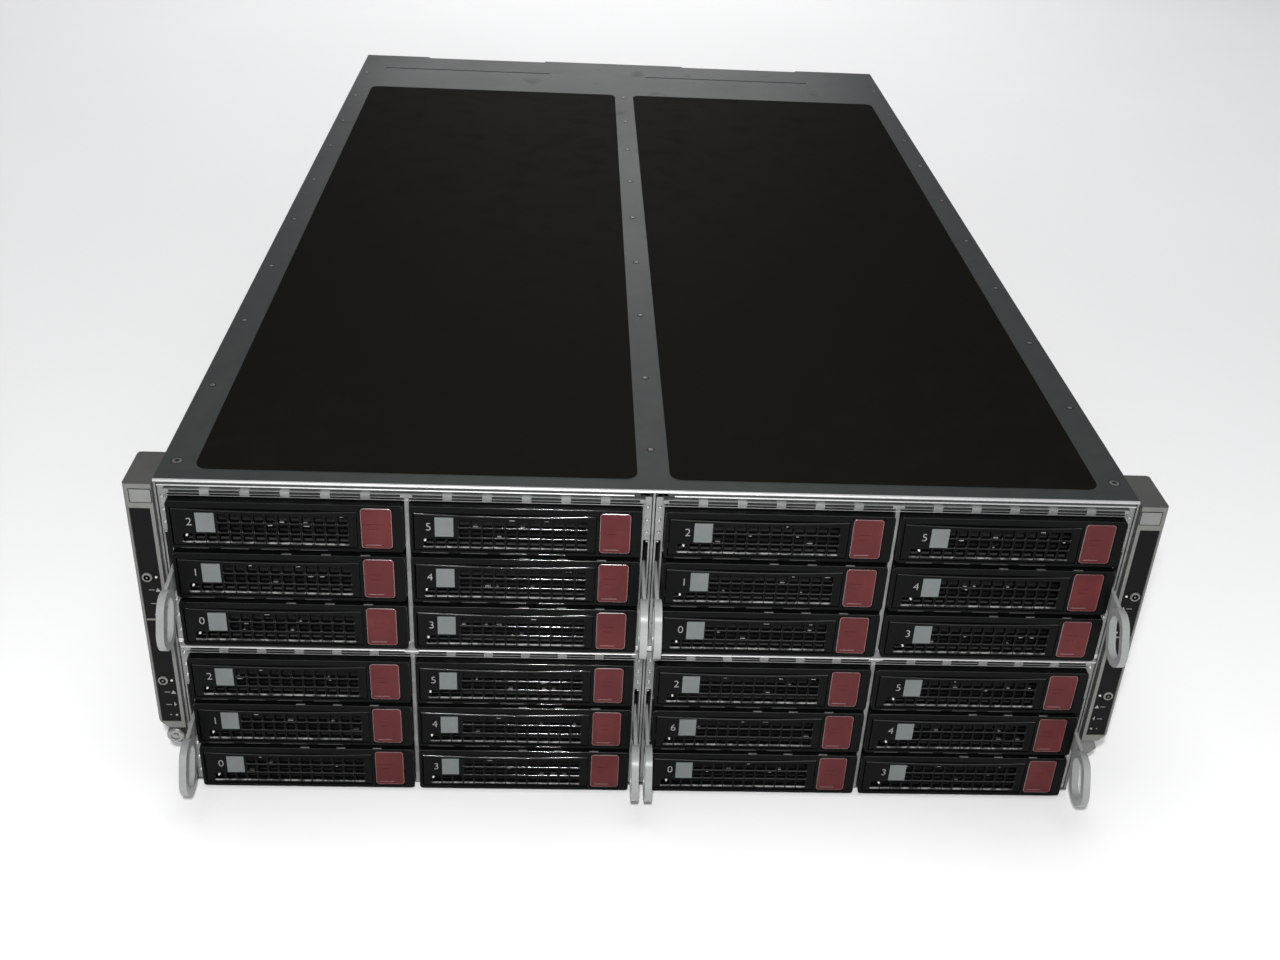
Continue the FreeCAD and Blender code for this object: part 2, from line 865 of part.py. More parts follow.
def build_ring_lever():
    """Right-hand lever of a sled: a finger ring on a flat strap with a pivot."""
    lever = new_body("ring_lever")
    strap_inner = channel_inner + (size.lever_channel - size.lever_sheet) / 2
    strap_outer = strap_inner + size.lever_sheet
    ring_outer = strap_inner + size.ring_proud
    ring_inner = ring_outer - size.ring_thickness
    low = (-size.ring_low_y, size.ring_low_z)
    high = (-size.ring_high_y, size.ring_high_z)
    rim = Capsule(low, high, size.ring_outer_radius)
    pad(lever, "YZ_Plane", [rim], ring_inner, ring_outer)
    half = size.strap_half
    strap = [
        (-size.strap_reach, size.ring_high_z - size.joint_gap),
        (size.strap_tail, size.pivot_z - half),
        (size.strap_tail, size.pivot_z + half),
        (size.pivot_y - half, size.pivot_z + half),
        (-size.ring_high_y, size.ring_high_z + size.ring_inner_radius + half / 2),
    ]
    pad(lever, "YZ_Plane", [strap], strap_inner, strap_outer)
    finger_hole = Capsule(low, high, size.ring_inner_radius)
    pocket(lever, "YZ_Plane", [finger_hole], ring_inner, ring_outer)
    pivot_hole = Circle(size.pivot_y, size.pivot_z, size.pivot_radius + size.joint_gap)
    pocket(lever, "YZ_Plane", [pivot_hole], strap_inner, strap_outer)
    return lever


def build_pivot_pin():
    channel_outer = channel_inner + size.lever_channel
    return rod_along_x(
        "pivot_pin", size.pivot_radius, channel_inner, channel_outer, size.pivot_y, size.pivot_z
    )


def build_sled_boards():
    """Backplane, fans, mainboard and what it carries, as separate solids."""
    pieces = []
    backplane = new_body("backplane")
    face = rectangle(-cage_inner, cage_inner, size.sled_sheet, cage_top)
    windows = []
    window_half = size.backplane_window_width / 2
    for index in range(ROWS):
        low = row_base(index) + (size.drive_height - size.backplane_window_height) / 2
        windows.append(rectangle(-window_half, window_half, low, low + size.backplane_window_height))
    back = cage_depth + size.backplane_thickness
    pad(backplane, "XZ_Plane", [face] + windows, cage_depth, back)
    pieces.append(backplane)

    fan_size = sled_height - size.sled_sheet - size.fan_headroom
    fan_half = fan_size / 2
    fan_level = size.sled_sheet + fan_half
    fan_bore = fan_half - size.fan_wall
    fan_middle = fan_half + size.fan_gap / 2
    for name, middle in (("left", -fan_middle), ("right", fan_middle)):
        frame = new_body(f"fan_frame_{name}")
        fan_left = middle - fan_half
        square = rectangle(fan_left, fan_left + fan_size, size.sled_sheet, fan_level + fan_half)
        bore = Circle(middle, fan_level, fan_bore)
        pad(frame, "XZ_Plane", [square, bore], fan_start, fan_end)
        pieces.append(frame)
        hub = prism(f"fan_hub_{name}", HUB_SIDES, size.fan_hub, fan_end - fan_start)
        hub.Placement.Rotation = FreeCAD.Rotation(FreeCAD.Vector(1, 0, 0), -90)
        pieces.append(place(hub, middle, fan_start, fan_level))
        strut_end = fan_end + size.fan_strut
        strut = block(
            f"fan_strut_{name}",
            middle - fan_half,
            middle + fan_half,
            fan_end,
            strut_end,
            fan_level - size.fan_strut,
            fan_level + size.fan_strut,
        )
        pieces.append(strut)

    board_base = size.sled_sheet + size.standoff_height
    board_top = board_base + size.board_thickness
    board_left = -sled_half + size.board_side
    board_right = wing_right - size.board_side
    board_end = sled_rear - size.board_rear
    mainboard = block(
        "mainboard", board_left, board_right, board_start, board_end, board_base, board_top
    )
    pieces.append(mainboard)
    inset = 2 * size.standoff_radius
    for across in (board_left + inset, board_right - inset):
        for along in (board_start + inset, board_end - inset):
            name = f"standoff_{len(pieces)}"
            standoff = prism(name, STANDOFF_SIDES, size.standoff_radius, size.standoff_height)
            pieces.append(place(standoff, across, along, size.sled_sheet))

    bank_width = (MODULE_COUNT - 1) * size.module_pitch + size.module_thickness
    left_bank = board_left + size.module_pitch
    right_bank = board_right - size.module_pitch - bank_width
    sink_left = left_bank + bank_width + size.heatsink_gap
    heatsink = build_heatsink(board_top, sink_left, right_bank - size.heatsink_gap)
    pieces.append(heatsink)
    pieces.append(moved("heatsink_rear", heatsink, size.heatsink_length + size.heatsink_spacing))
    module_start = board_start + size.module_lead
    for bank in (left_bank, right_bank):
        for index in range(MODULE_COUNT):
            across = bank + index * size.module_pitch
            pieces.append(
                block(
                    f"memory_{len(pieces)}",
                    across,
                    across + size.module_thickness,
                    module_start,
                    module_start + size.module_length,
                    board_top,
                    board_top + size.module_height,
                )
            )
    return pieces


def moved(name, source, back):
    """A second one of a piece, further to the rear."""
    copy = doc.addObject("Part::Compound", name)
    copy.Links = [source]
    return place(copy, 0.0, back, 0.0)


def build_heatsink(board_top, left, right):
    heatsink = new_body("heatsink")
    base_top = board_top + size.heatsink_base
    top = board_top + size.heatsink_height
    gap = (right - left - FIN_COUNT * size.heatsink_fin) / (FIN_COUNT - 1)
    section = [(left, board_top), (right, board_top), (right, top)]
    for index in range(FIN_COUNT - 1):
        fin_left = right - size.heatsink_fin - index * (size.heatsink_fin + gap)
        next_fin = fin_left - gap
        section += [(fin_left, top), (fin_left, base_top), (next_fin, base_top), (next_fin, top)]
    section.append((left, top))
    front = board_start + size.heatsink_lead
    pad(heatsink, "XZ_Plane", [section], front, front + size.heatsink_length)
    return heatsink


def build_jack(index):
    """A network jack, held in its cut-out of the port panel."""
    jack = new_body(f"network_jack_{index + 1}")
    base = jack_base()
    left = jack_left(index)
    right = left + size.jack_width
    high = base + size.jack_height
    front = sled_rear - size.jack_depth
    pad(jack, "XZ_Plane", [rectangle(left, right, base, high)], front, sled_rear)
    wall = size.jack_wall
    mouth = rectangle(left + wall, right - wall, base + wall, high - wall)
    pocket(jack, "XZ_Plane", [mouth], front + 2 * wall, sled_rear)
    return jack


bezel_low = -size.bezel_drop
bezel_high = bezel_low + row_pitch - size.bezel_row_gap
window_low = bezel_low + size.bezel_border
window_high = bezel_high - size.bezel_border
button_right = bezel_half - size.button_margin
button_left = button_right - size.button_width
latch_window_left = -bezel_half + size.bezel_border
latch_window_right = button_left - size.joint_gap - size.bezel_post
latch_left = latch_window_left + size.latch_end_gap
latch_right = latch_window_right - size.joint_gap
latch_low = window_low + size.joint_gap
latch_window_high = bezel_high - size.latch_top_border
latch_high = latch_window_high - size.joint_gap
button_high = window_high - size.joint_gap
latch_pin_x = latch_left + size.latch_pin_inset
latch_pin_slope = size.latch_bow * size.latch_pin_inset / size.latch_left_slope
latch_pin_y = -size.latch_front + size.latch_sheet / 2 + latch_pin_slope


def build_carrier_frame():
    """Bezel, two side rails and the bar behind the drive."""
    frame = new_body("carrier_frame")
    face = rectangle(-bezel_half, bezel_half, bezel_low, bezel_high)
    latch_window = rectangle(
        latch_window_left, latch_window_right, window_low, latch_window_high
    )
    gap = size.joint_gap
    button_window = rectangle(button_left - gap, button_right + gap, window_low, window_high)
    pad(frame, "XZ_Plane", [face, latch_window, button_window], -size.bezel_depth, 0.0)
    rail_inner = size.drive_width / 2 + size.drive_gap
    rail_high = size.rail_base + size.rail_height
    for left, right in ((-bezel_half, -rail_inner), (rail_inner, bezel_half)):
        rail = rectangle(left, right, size.rail_base, rail_high)
        pad(frame, "XZ_Plane", [rail], 0.0, rail_end)
    bar = rectangle(-bezel_half, bezel_half, size.rail_base, size.rail_base + size.tail_bar_height)
    pad(frame, "XZ_Plane", [bar], drive_end + size.drive_gap, rail_end)
    return frame


def build_latch(name):
    """Latch lever: a dished strip with three rows of slots."""
    latch = new_body(name)
    front = -size.latch_front
    dish = front + size.latch_bow
    slope_left = latch_left + size.latch_left_slope
    slope_right = latch_right - size.latch_right_slope
    depth = size.latch_sheet
    plan = [
        (latch_left, front),
        (slope_left, dish),
        (slope_right, dish),
        (latch_right, front),
        (latch_right, front + depth),
        (slope_right, dish + depth),
        (slope_left, dish + depth),
        (latch_left, front + depth),
    ]
    pad(latch, "XY_Plane", [plan], latch_low, latch_high)
    slots = []
    slots_low = latch_low + size.grille_lowest
    slots_high = latch_high - size.grille_top
    row_step = (slots_high - slots_low + size.grille_rail) / GRILLE_ROWS
    for index in range(GRILLE_ROWS):
        low = slots_low + index * row_step
        start = slope_left
        if index == 0:
            start = latch_pin_x + size.latch_pin_radius + 2 * size.joint_gap
        slots.append(rectangle(start, slope_right, low, low + row_step - size.grille_rail))
    pocket(latch, "XZ_Plane", slots, front, dish + depth)
    return latch


def add_grille_bars(latch):
    """Upright bars behind the slots, which make a grille of square holes."""
    slope_left = latch_left + size.latch_left_slope
    slope_right = latch_right - size.latch_right_slope
    pitch = (slope_right - slope_left) / GRILLE_COLUMNS
    half = size.grille_bar / 2
    bar_low = latch_low + size.grille_lowest - half
    bar_high = latch_high - size.grille_top + half
    bar_front = size.latch_bow + size.latch_sheet - size.latch_front
    bars = []
    for index in range(1, GRILLE_COLUMNS):
        middle = slope_left + index * pitch
        bars.append(rectangle(middle - half, middle + half, bar_low, bar_high))
    pad(latch, "XZ_Plane", bars, bar_front, bar_front + size.grille_bar_depth)


def build_release_button():
    button = new_body("carrier_button")
    front = -size.bezel_depth
    face = rectangle(button_left, button_right, latch_low, button_high)
    pad(button, "XZ_Plane", [face], front, front + size.button_length)
    rim = size.button_rim
    dish = rectangle(button_left + rim, button_right - rim, latch_low + rim, button_high - rim)
    pocket(button, "XZ_Plane", [dish], front, front + size.button_dish)
    return button


def build_drive():
    drive = new_body("hard_drive")
    half = size.drive_width / 2
    face = rectangle(-half, half, 0.0, size.drive_height)
    pad(drive, "XZ_Plane", [face], size.drive_front, drive_end)
    return drive


def build_latch_pin():
    radius = size.latch_pin_radius
    return rod_along_z("latch_pin", radius, window_low, latch_window_high, latch_pin_x, latch_pin_y)


def build_hinged_latch(latch):
    """The latch with the bore that turns on the pin."""
    radius = size.latch_pin_radius + size.drive_gap
    bore = rod_along_z("latch_bore", radius, window_low, latch_window_high, latch_pin_x, latch_pin_y)
    hinged = doc.addObject("Part::Cut", "latch_hinged")
    hinged.Base = latch
    hinged.Tool = bore
    return hinged


def build_sleds():
    pin = build_pivot_pin()
    long_side = build_sled_side("sled_side_long", panel_front)
    jacks = [build_jack(index) for index in range(JACK_COUNT)]
    frame_pieces = [
        build_sled_floor(),
        mirrored("sled_side_left", long_side),
        build_sled_side("sled_side_right", step_y),
        build_sled_corner(),
        build_vent_panel(),
        build_port_shield(),
        build_vent_strip(),
        pin,
        mirrored("pivot_pin_left", pin),
    ]
    frame_pieces += build_drive_cage() + jacks
    lever = build_ring_lever()
    lever_left = mirrored("ring_lever_left", lever)
    board_pieces = build_sled_boards()
    frame = build_carrier_frame()
    latch = build_latch("latch")
    full_latch = build_latch("full_latch")
    add_grille_bars(full_latch)
    button = build_release_button()
    drive = build_drive()
    carrier_pieces = [frame, latch, button, drive]
    for name, across, floor in bays:
        level = floor + size.sled_lift
        keep_group(f"sled_tray_{name}", frame_pieces, across, level)
        keep_group(f"sled_boards_{name}", board_pieces, across, level)
        keep_group(f"ring_lever_{name}_left", [lever_left], across, level)
        keep_group(f"ring_lever_{name}_right", [lever], across, level)
        for column, column_x in (("left", -column_centre), ("right", column_centre)):
            for row in range(ROWS):
                label = f"carrier_{name}_{column}_{row + 1}"
                carrier_x = across + column_x
                carrier_z = level + row_base(row)
                if label == OPEN_CARRIER:
                    keep_group(label, [frame, drive, build_latch_pin()], carrier_x, carrier_z)
                    keep_group("latch_lever", [build_hinged_latch(full_latch)], carrier_x, carrier_z)
                    keep_group("release_button", [button], carrier_x, carrier_z)
                else:
                    keep_group(label, carrier_pieces, carrier_x, carrier_z)


def build_power():
    """Supplies in the rear right corner of each bay, with frames and boards."""
    supply = new_body("supply")
    half = size.supply_width / 2
    middle = bay_width / 2 - size.supply_gap - half
    left = middle - half
    rear = size.chassis_depth
    face = rectangle(left, middle + half, size.supply_lift, size.supply_lift + size.supply_height)
    pad(supply, "XZ_Plane", [face], supply_front, rear)
    inlet_left = left + size.inlet_left
    inlet_base = size.supply_lift + size.inlet_base
    inlet = rectangle(
        inlet_left, inlet_left + size.inlet_width, inlet_base, inlet_base + size.inlet_height
    )
    pocket(supply, "XZ_Plane", [inlet], rear - size.inlet_depth, rear)
    fan_room = size.supply_width - size.inlet_left - size.inlet_width - size.supply_fan_gap
    fan_radius = (fan_room - size.supply_fan_side) / 2
    fan_x = middle + half - size.supply_fan_side - fan_radius
    fan_level = size.supply_lift + size.supply_height / 2
    fan = Circle(fan_x, fan_level, fan_radius)
    pocket(supply, "XZ_Plane", [fan], rear - size.supply_fan_depth, rear)

    handle = new_body("supply_handle")
    strip = size.handle_strip
    low = fan_level - size.handle_span / 2
    high = fan_level + size.handle_span / 2
    back = rear + size.handle_reach
    bow = [
        (rear, low),
        (back, low),
        (back, high),
        (rear, high),
        (rear, high - strip),
        (back - strip, high - strip),
        (back - strip, low + strip),
        (rear, low + strip),
    ]
    handle_left = middle + size.handle_right - size.handle_width / 2
    pad(handle, "YZ_Plane", [bow], handle_left, handle_left + size.handle_width)

    tab_right = middle + half
    tab = block(
        "supply_latch",
        tab_right - size.latch_tab_width,
        tab_right,
        rear,
        rear + size.latch_tab_reach,
        size.supply_lift,
        size.supply_lift + size.latch_tab_height,
    )

    bay_frame = new_body("bay_frame")
    wall_right = bay_width / 2 - supply_zone
    wall_left = wall_right - size.bay_sheet
    side = bay_width / 2
    roof_low = size.supply_lift + size.supply_height + size.supply_gap
    roof_high = roof_low + size.bay_sheet
    frame_high = storey - size.joint_gap
    section = [
        (wall_left, 0.0),
        (wall_right, 0.0),
        (wall_right, roof_low),
        (side, roof_low),
        (side, roof_high),
        (wall_right, roof_high),
        (wall_right, frame_high),
        (wall_left, frame_high),
    ]
    pad(bay_frame, "XZ_Plane", [section], bay_frame_start, sled_rear)
    vent_front = sled_rear - size.bay_sheet
    panel = rectangle(wall_right, side, roof_high, frame_high)
    pad(bay_frame, "XZ_Plane", [panel], vent_front, sled_rear)
    vents = []
    for index in range(BAY_VENTS):
        vent_left = wall_right + size.bay_vent_side + index * size.bay_vent_pitch
        vent_right = vent_left + size.bay_vent_width
        vent_low = roof_high + size.bay_vent_end
        vent_high = frame_high - size.bay_vent_end
        vents.append(rectangle(vent_left, vent_right, vent_low, vent_high))
    pocket(bay_frame, "XZ_Plane", vents, vent_front, sled_rear)

    board = block(
        "midplane_board",
        wall_right,
        side,
        midplane_front,
        midplane_back,
        0.0,
        roof_low,
    )
    plug_half = size.midplane_plug_width / 2
    plug_low = fan_level - size.midplane_plug_height / 2
    plug = block(
        "midplane_plug",
        middle - plug_half,
        middle + plug_half,
        midplane_back,
        supply_front - size.supply_gap,
        plug_low,
        plug_low + size.midplane_plug_height,
    )
    frames = []
    boards = []
    for name, across, floor in bays:
        keep_group(f"power_supply_{name}", [supply, handle, tab], across, floor)
        frames.append(placed_copy(f"bay_frame_{name}", [bay_frame], across, floor))
        boards.append(placed_copy(f"midplane_{name}", [board, plug], across, floor))
    keep_group("power_bay_frames", frames)
    keep_group("power_midplanes", boards)


def placed_copy(name, items, across, up):
    copy = doc.addObject("Part::Compound", name)
    copy.Links = items
    return place(copy, across, 0.0, up)


build_chassis()
build_ears()
build_sleds()
build_power()
doc.recompute()

for item in doc.Objects:
    if "Invalid" in item.State or "Error" in item.State:
        raise ValueError(f"{item.Label} failed: {item.State}")
for item in nodes:
    if item.Shape.isNull() or not item.Shape.isValid():
        raise ValueError(f"{item.Label} has no valid shape")

os.makedirs("parts", exist_ok=True)
for item in nodes:
    item.Shape.exportStep(f"parts/{item.Label}.step")
print(len(nodes), "sub-parts")
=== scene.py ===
"""Looks of a multi-node storage server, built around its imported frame.

Models are drawn in millimetres and scaled to metres when a piece is finished.
Y is counted from the front edge of the cover, as in the part's own drawing.
"""
import math
import random

import bmesh
import bpy
from mathutils import Matrix, Vector


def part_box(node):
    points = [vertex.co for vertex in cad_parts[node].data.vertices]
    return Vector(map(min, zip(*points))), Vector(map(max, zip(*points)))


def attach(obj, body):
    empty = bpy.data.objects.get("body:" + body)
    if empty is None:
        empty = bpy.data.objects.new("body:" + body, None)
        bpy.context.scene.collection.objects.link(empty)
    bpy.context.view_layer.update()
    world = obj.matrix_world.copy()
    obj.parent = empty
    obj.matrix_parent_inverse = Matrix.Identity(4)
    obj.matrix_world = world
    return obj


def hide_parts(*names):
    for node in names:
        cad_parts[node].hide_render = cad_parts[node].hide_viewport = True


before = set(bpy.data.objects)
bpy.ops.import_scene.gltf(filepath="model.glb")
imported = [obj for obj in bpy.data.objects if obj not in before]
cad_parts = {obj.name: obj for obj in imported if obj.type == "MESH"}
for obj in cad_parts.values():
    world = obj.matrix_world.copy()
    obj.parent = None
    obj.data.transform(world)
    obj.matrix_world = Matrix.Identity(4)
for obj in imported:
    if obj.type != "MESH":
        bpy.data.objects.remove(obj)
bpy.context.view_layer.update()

MM = 0.001
QUARTER = math.radians(90)
FRONT = -362.5
HALF_WIDTH = 224.0
COVER_TOP = 176.7
BAY_CENTRE = 111.7
COLUMN_CENTRE = 53.9
ROW_PITCH = 27.4
BAYS = ("upper_left", "upper_right", "lower_left", "lower_right")
COLUMNS = ("left", "right")
ROWS = (1, 2, 3)
OPEN_CARRIER = "carrier_upper_left_left_3"
SOFT_CREASE = 32.0
SHEET_CREASE = 1.0


# Paints

def tone(red, green, blue):
    """A colour as it looks on a screen, in the shader's linear numbers."""
    linear = []
    for value in (red, green, blue):
        share = value / 255
        linear.append(share / 12.92 if share <= 0.04045 else ((share + 0.055) / 1.055) ** 2.4)
    return (*linear, 1.0)


def grey(value):
    return tone(value, value, value)


class Wire:
    """A node's output, whose arithmetic adds Math nodes."""

    def __init__(self, paint, socket):
        self.paint = paint
        self.socket = socket

    def __add__(self, other):
        return self.paint.maths("ADD", self, other)

    def __radd__(self, other):
        return self.paint.maths("ADD", other, self)

    def __sub__(self, other):
        return self.paint.maths("SUBTRACT", self, other)

    def __rsub__(self, other):
        return self.paint.maths("SUBTRACT", other, self)

    def __mul__(self, other):
        return self.paint.maths("MULTIPLY", self, other)

    def __rmul__(self, other):
        return self.paint.maths("MULTIPLY", other, self)


class Paint:
    """A material in the making."""

    def __init__(self, name):
        self.material = bpy.data.materials.new(name)
        self.material.use_nodes = True
        self.tree = self.material.node_tree
        self.surface = self.tree.nodes["Principled BSDF"]
        self.place = self.node("TexCoord", output="Object")

    def node(self, kind, sockets=None, output=0, stops=None, **settings):
        """Add a node, set it up, fill its sockets and give one of its outputs."""
        made = self.tree.nodes.new("ShaderNode" + kind)
        for key, value in settings.items():
            setattr(made, key, value)
        if stops:
            ramp = made.color_ramp
            while len(ramp.elements) < len(stops):
                ramp.elements.new(1.0)
            for element, (position, colour) in zip(ramp.elements, stops):
                element.position = position
                element.color = colour
        for key, value in (sockets or {}).items():
            self.put(made.inputs[key], value)
        return Wire(self, made.outputs[output])

    def put(self, socket, value):
        if isinstance(value, Wire):
            self.tree.links.new(value.socket, socket)
        else:
            socket.default_value = value

    def maths(self, operation, first, second):
        return self.node("Math", {0: first, 1: second}, operation=operation)

    def mix(self, share, first, second):
        return self.node("Mix", {0: share, 6: first, 7: second}, output=2, data_type="RGBA")

    def noise(self, scale, detail=3.0, stretch=None):
        place = self.place
        if stretch:
            place = self.node("Mapping", {"Vector": place, "Scale": stretch})
        sockets = {"Vector": place, "Scale": scale, "Detail": detail}
        return self.node("TexNoise", sockets, output="Fac")

    def step(self, share, low, high):
        """0 below low, 1 above high and a slope between."""
        stops = [(low, (0, 0, 0, 1)), (high, (1, 1, 1, 1))]
        return self.node("ValToRGB", {"Fac": share}, stops=stops)

    def done(self, colour, roughness, metallic=0.0, height=None, depth=0.0001, **constants):
        inputs = self.surface.inputs
        self.put(inputs["Base Color"], colour)
        self.put(inputs["Roughness"], roughness)
        self.put(inputs["Metallic"], metallic)
        if height is not None:
            bump = self.node("Bump", {"Height": height, "Distance": depth, "Strength": 1.0})
            self.put(inputs["Normal"], bump)
        for key, value in constants.items():
            inputs[key.replace("_", " ")].default_value = value
        return self.material


def sheet_steel(name, light, dark, roughness, metallic):
    """Zinc-plated sheet with faint crystals, rolling streaks and handling marks."""
    paint = Paint(name)
    cells = paint.node("TexVoronoi", {"Vector": paint.place, "Scale": 140.0}, output="Color")
    crystals = paint.node("RGBToBW", {"Color": cells})
    clouds = paint.noise(7.0, 5.0)
    streaks = paint.noise(12.0, 4.0, (14.0, 1.0, 14.0))
    marks = paint.step(paint.noise(38.0, 6.0), 0.62, 0.72)
    share = crystals * 0.28 + clouds * 0.45 + streaks * 0.27
    colour = paint.mix(share, dark, light)
    rough = roughness - 0.1 + clouds * 0.2 + marks * 0.08
    height = streaks * 0.4 + crystals * 0.15
    return paint.done(colour, rough, metallic, height, 0.00004)


def dark_film():
    """Black plastic film with a fine matte grain and dusty smudges."""
    paint = Paint("film_black")
    grain = paint.noise(2600.0, 2.0)
    dust = paint.step(paint.noise(60.0, 8.0), 0.5, 0.8)
    specks = paint.step(paint.noise(900.0, 1.0), 0.78, 0.82)
    base = paint.mix(dust * 0.35, tone(16, 15, 11), tone(24, 23, 19))
    colour = paint.mix(specks * 0.3, base, grey(42))
    return paint.done(colour, 0.6 + dust * 0.1, 0.0, grain, 0.00003, Specular_IOR_Level=0.015)


def moulded_plastic(name, colour, worn, roughness, grain_depth=0.00004, **constants):
    """Moulded plastic with a fine spark-eroded grain and rubbed patches."""
    paint = Paint(name)
    grain = paint.noise(1800.0, 2.0)
    wear_and_highlight = paint.step(paint.noise(55.0, 6.0), 0.45, 0.75)
    speckle = paint.noise(700.0, 3.0)
    mixed = paint.mix(wear_and_highlight * 0.4 + speckle * 0.3, colour, worn)
    rough = roughness + wear_and_highlight * 0.1 - speckle * 0.05
    return paint.done(mixed, rough, 0.0, grain, grain_depth, **constants)


def sill_highlight_paint():
    """Black plastic with pale grey patches in broken dashes, painted on the grille's sills as a painted
    highlight.
    """
    paint = Paint("grille_sill_painted_highlight")
    wear_and_highlight = paint.step(paint.noise(300.0, 3.0), 0.44, 0.62)
    highlight_grain = paint.noise(1600.0, 2.0)
    colour = paint.mix(wear_and_highlight * 0.85 + highlight_grain * 0.15, tone(20, 20, 20), tone(128, 128, 125))
    return paint.done(colour, 0.35 + wear_and_highlight * 0.15, 0.0, highlight_grain, 0.00002)


def paper_label():
    paint = Paint("label_paper")
    fibre = paint.noise(1500.0, 4.0)
    clouds = paint.noise(90.0, 3.0)
    colour = paint.mix(fibre * 0.4 + clouds * 0.5, tone(86, 92, 93), tone(108, 113, 113))
    return paint.done(colour, 0.55 + fibre * 0.2, 0.0, fibre, 0.00002)


def printed_ink():
    paint = Paint("print_white")
    wear = paint.noise(900.0, 3.0)
    colour = paint.mix(wear, grey(113), grey(153))
    return paint.done(colour, 0.5 + wear * 0.15)


def lens(name, colour, light, glow):
    """Small light guide that shows a faint light inside."""
    paint = Paint(name)
    haze = paint.noise(600.0, 2.0)
    mixed = paint.mix(haze, colour, light)
    return paint.done(mixed, 0.2 + haze * 0.1, Emission_Color=light, Emission_Strength=glow)


def bright_metal(name, light, dark, roughness, stretch):
    """Bare metal with brushing along one direction."""
    paint = Paint(name)
    brush = paint.noise(60.0, 6.0, stretch)
    clouds = paint.noise(22.0, 4.0)
    colour = paint.mix(brush * 0.6 + clouds * 0.4, dark, light)
    return paint.done(colour, roughness + brush * 0.15, 0.9, brush, 0.00003)


def circuit_board(name, mask, copper):
    """Solder mask over square copper tracks, with tinned pads."""
    paint = Paint(name)
    sockets = {"Vector": paint.place, "Scale": 95.0, "Mortar Size": 0.012}
    tracks = paint.node("TexBrick", sockets, output="Fac")
    dots = paint.node("TexVoronoi", {"Vector": paint.place, "Scale": 260.0}, output="Distance")
    pads = 1 - paint.step(dots, 0.12, 0.16)
    clouds = paint.noise(30.0, 3.0)
    base = paint.mix(clouds * 0.5 + tracks * 0.5, mask, copper)
    colour = paint.mix(pads * 0.7, base, tone(169, 160, 133))
    return paint.done(colour, 0.35 + clouds * 0.15, pads * 0.6, tracks * 0.5 + pads, 0.00005)


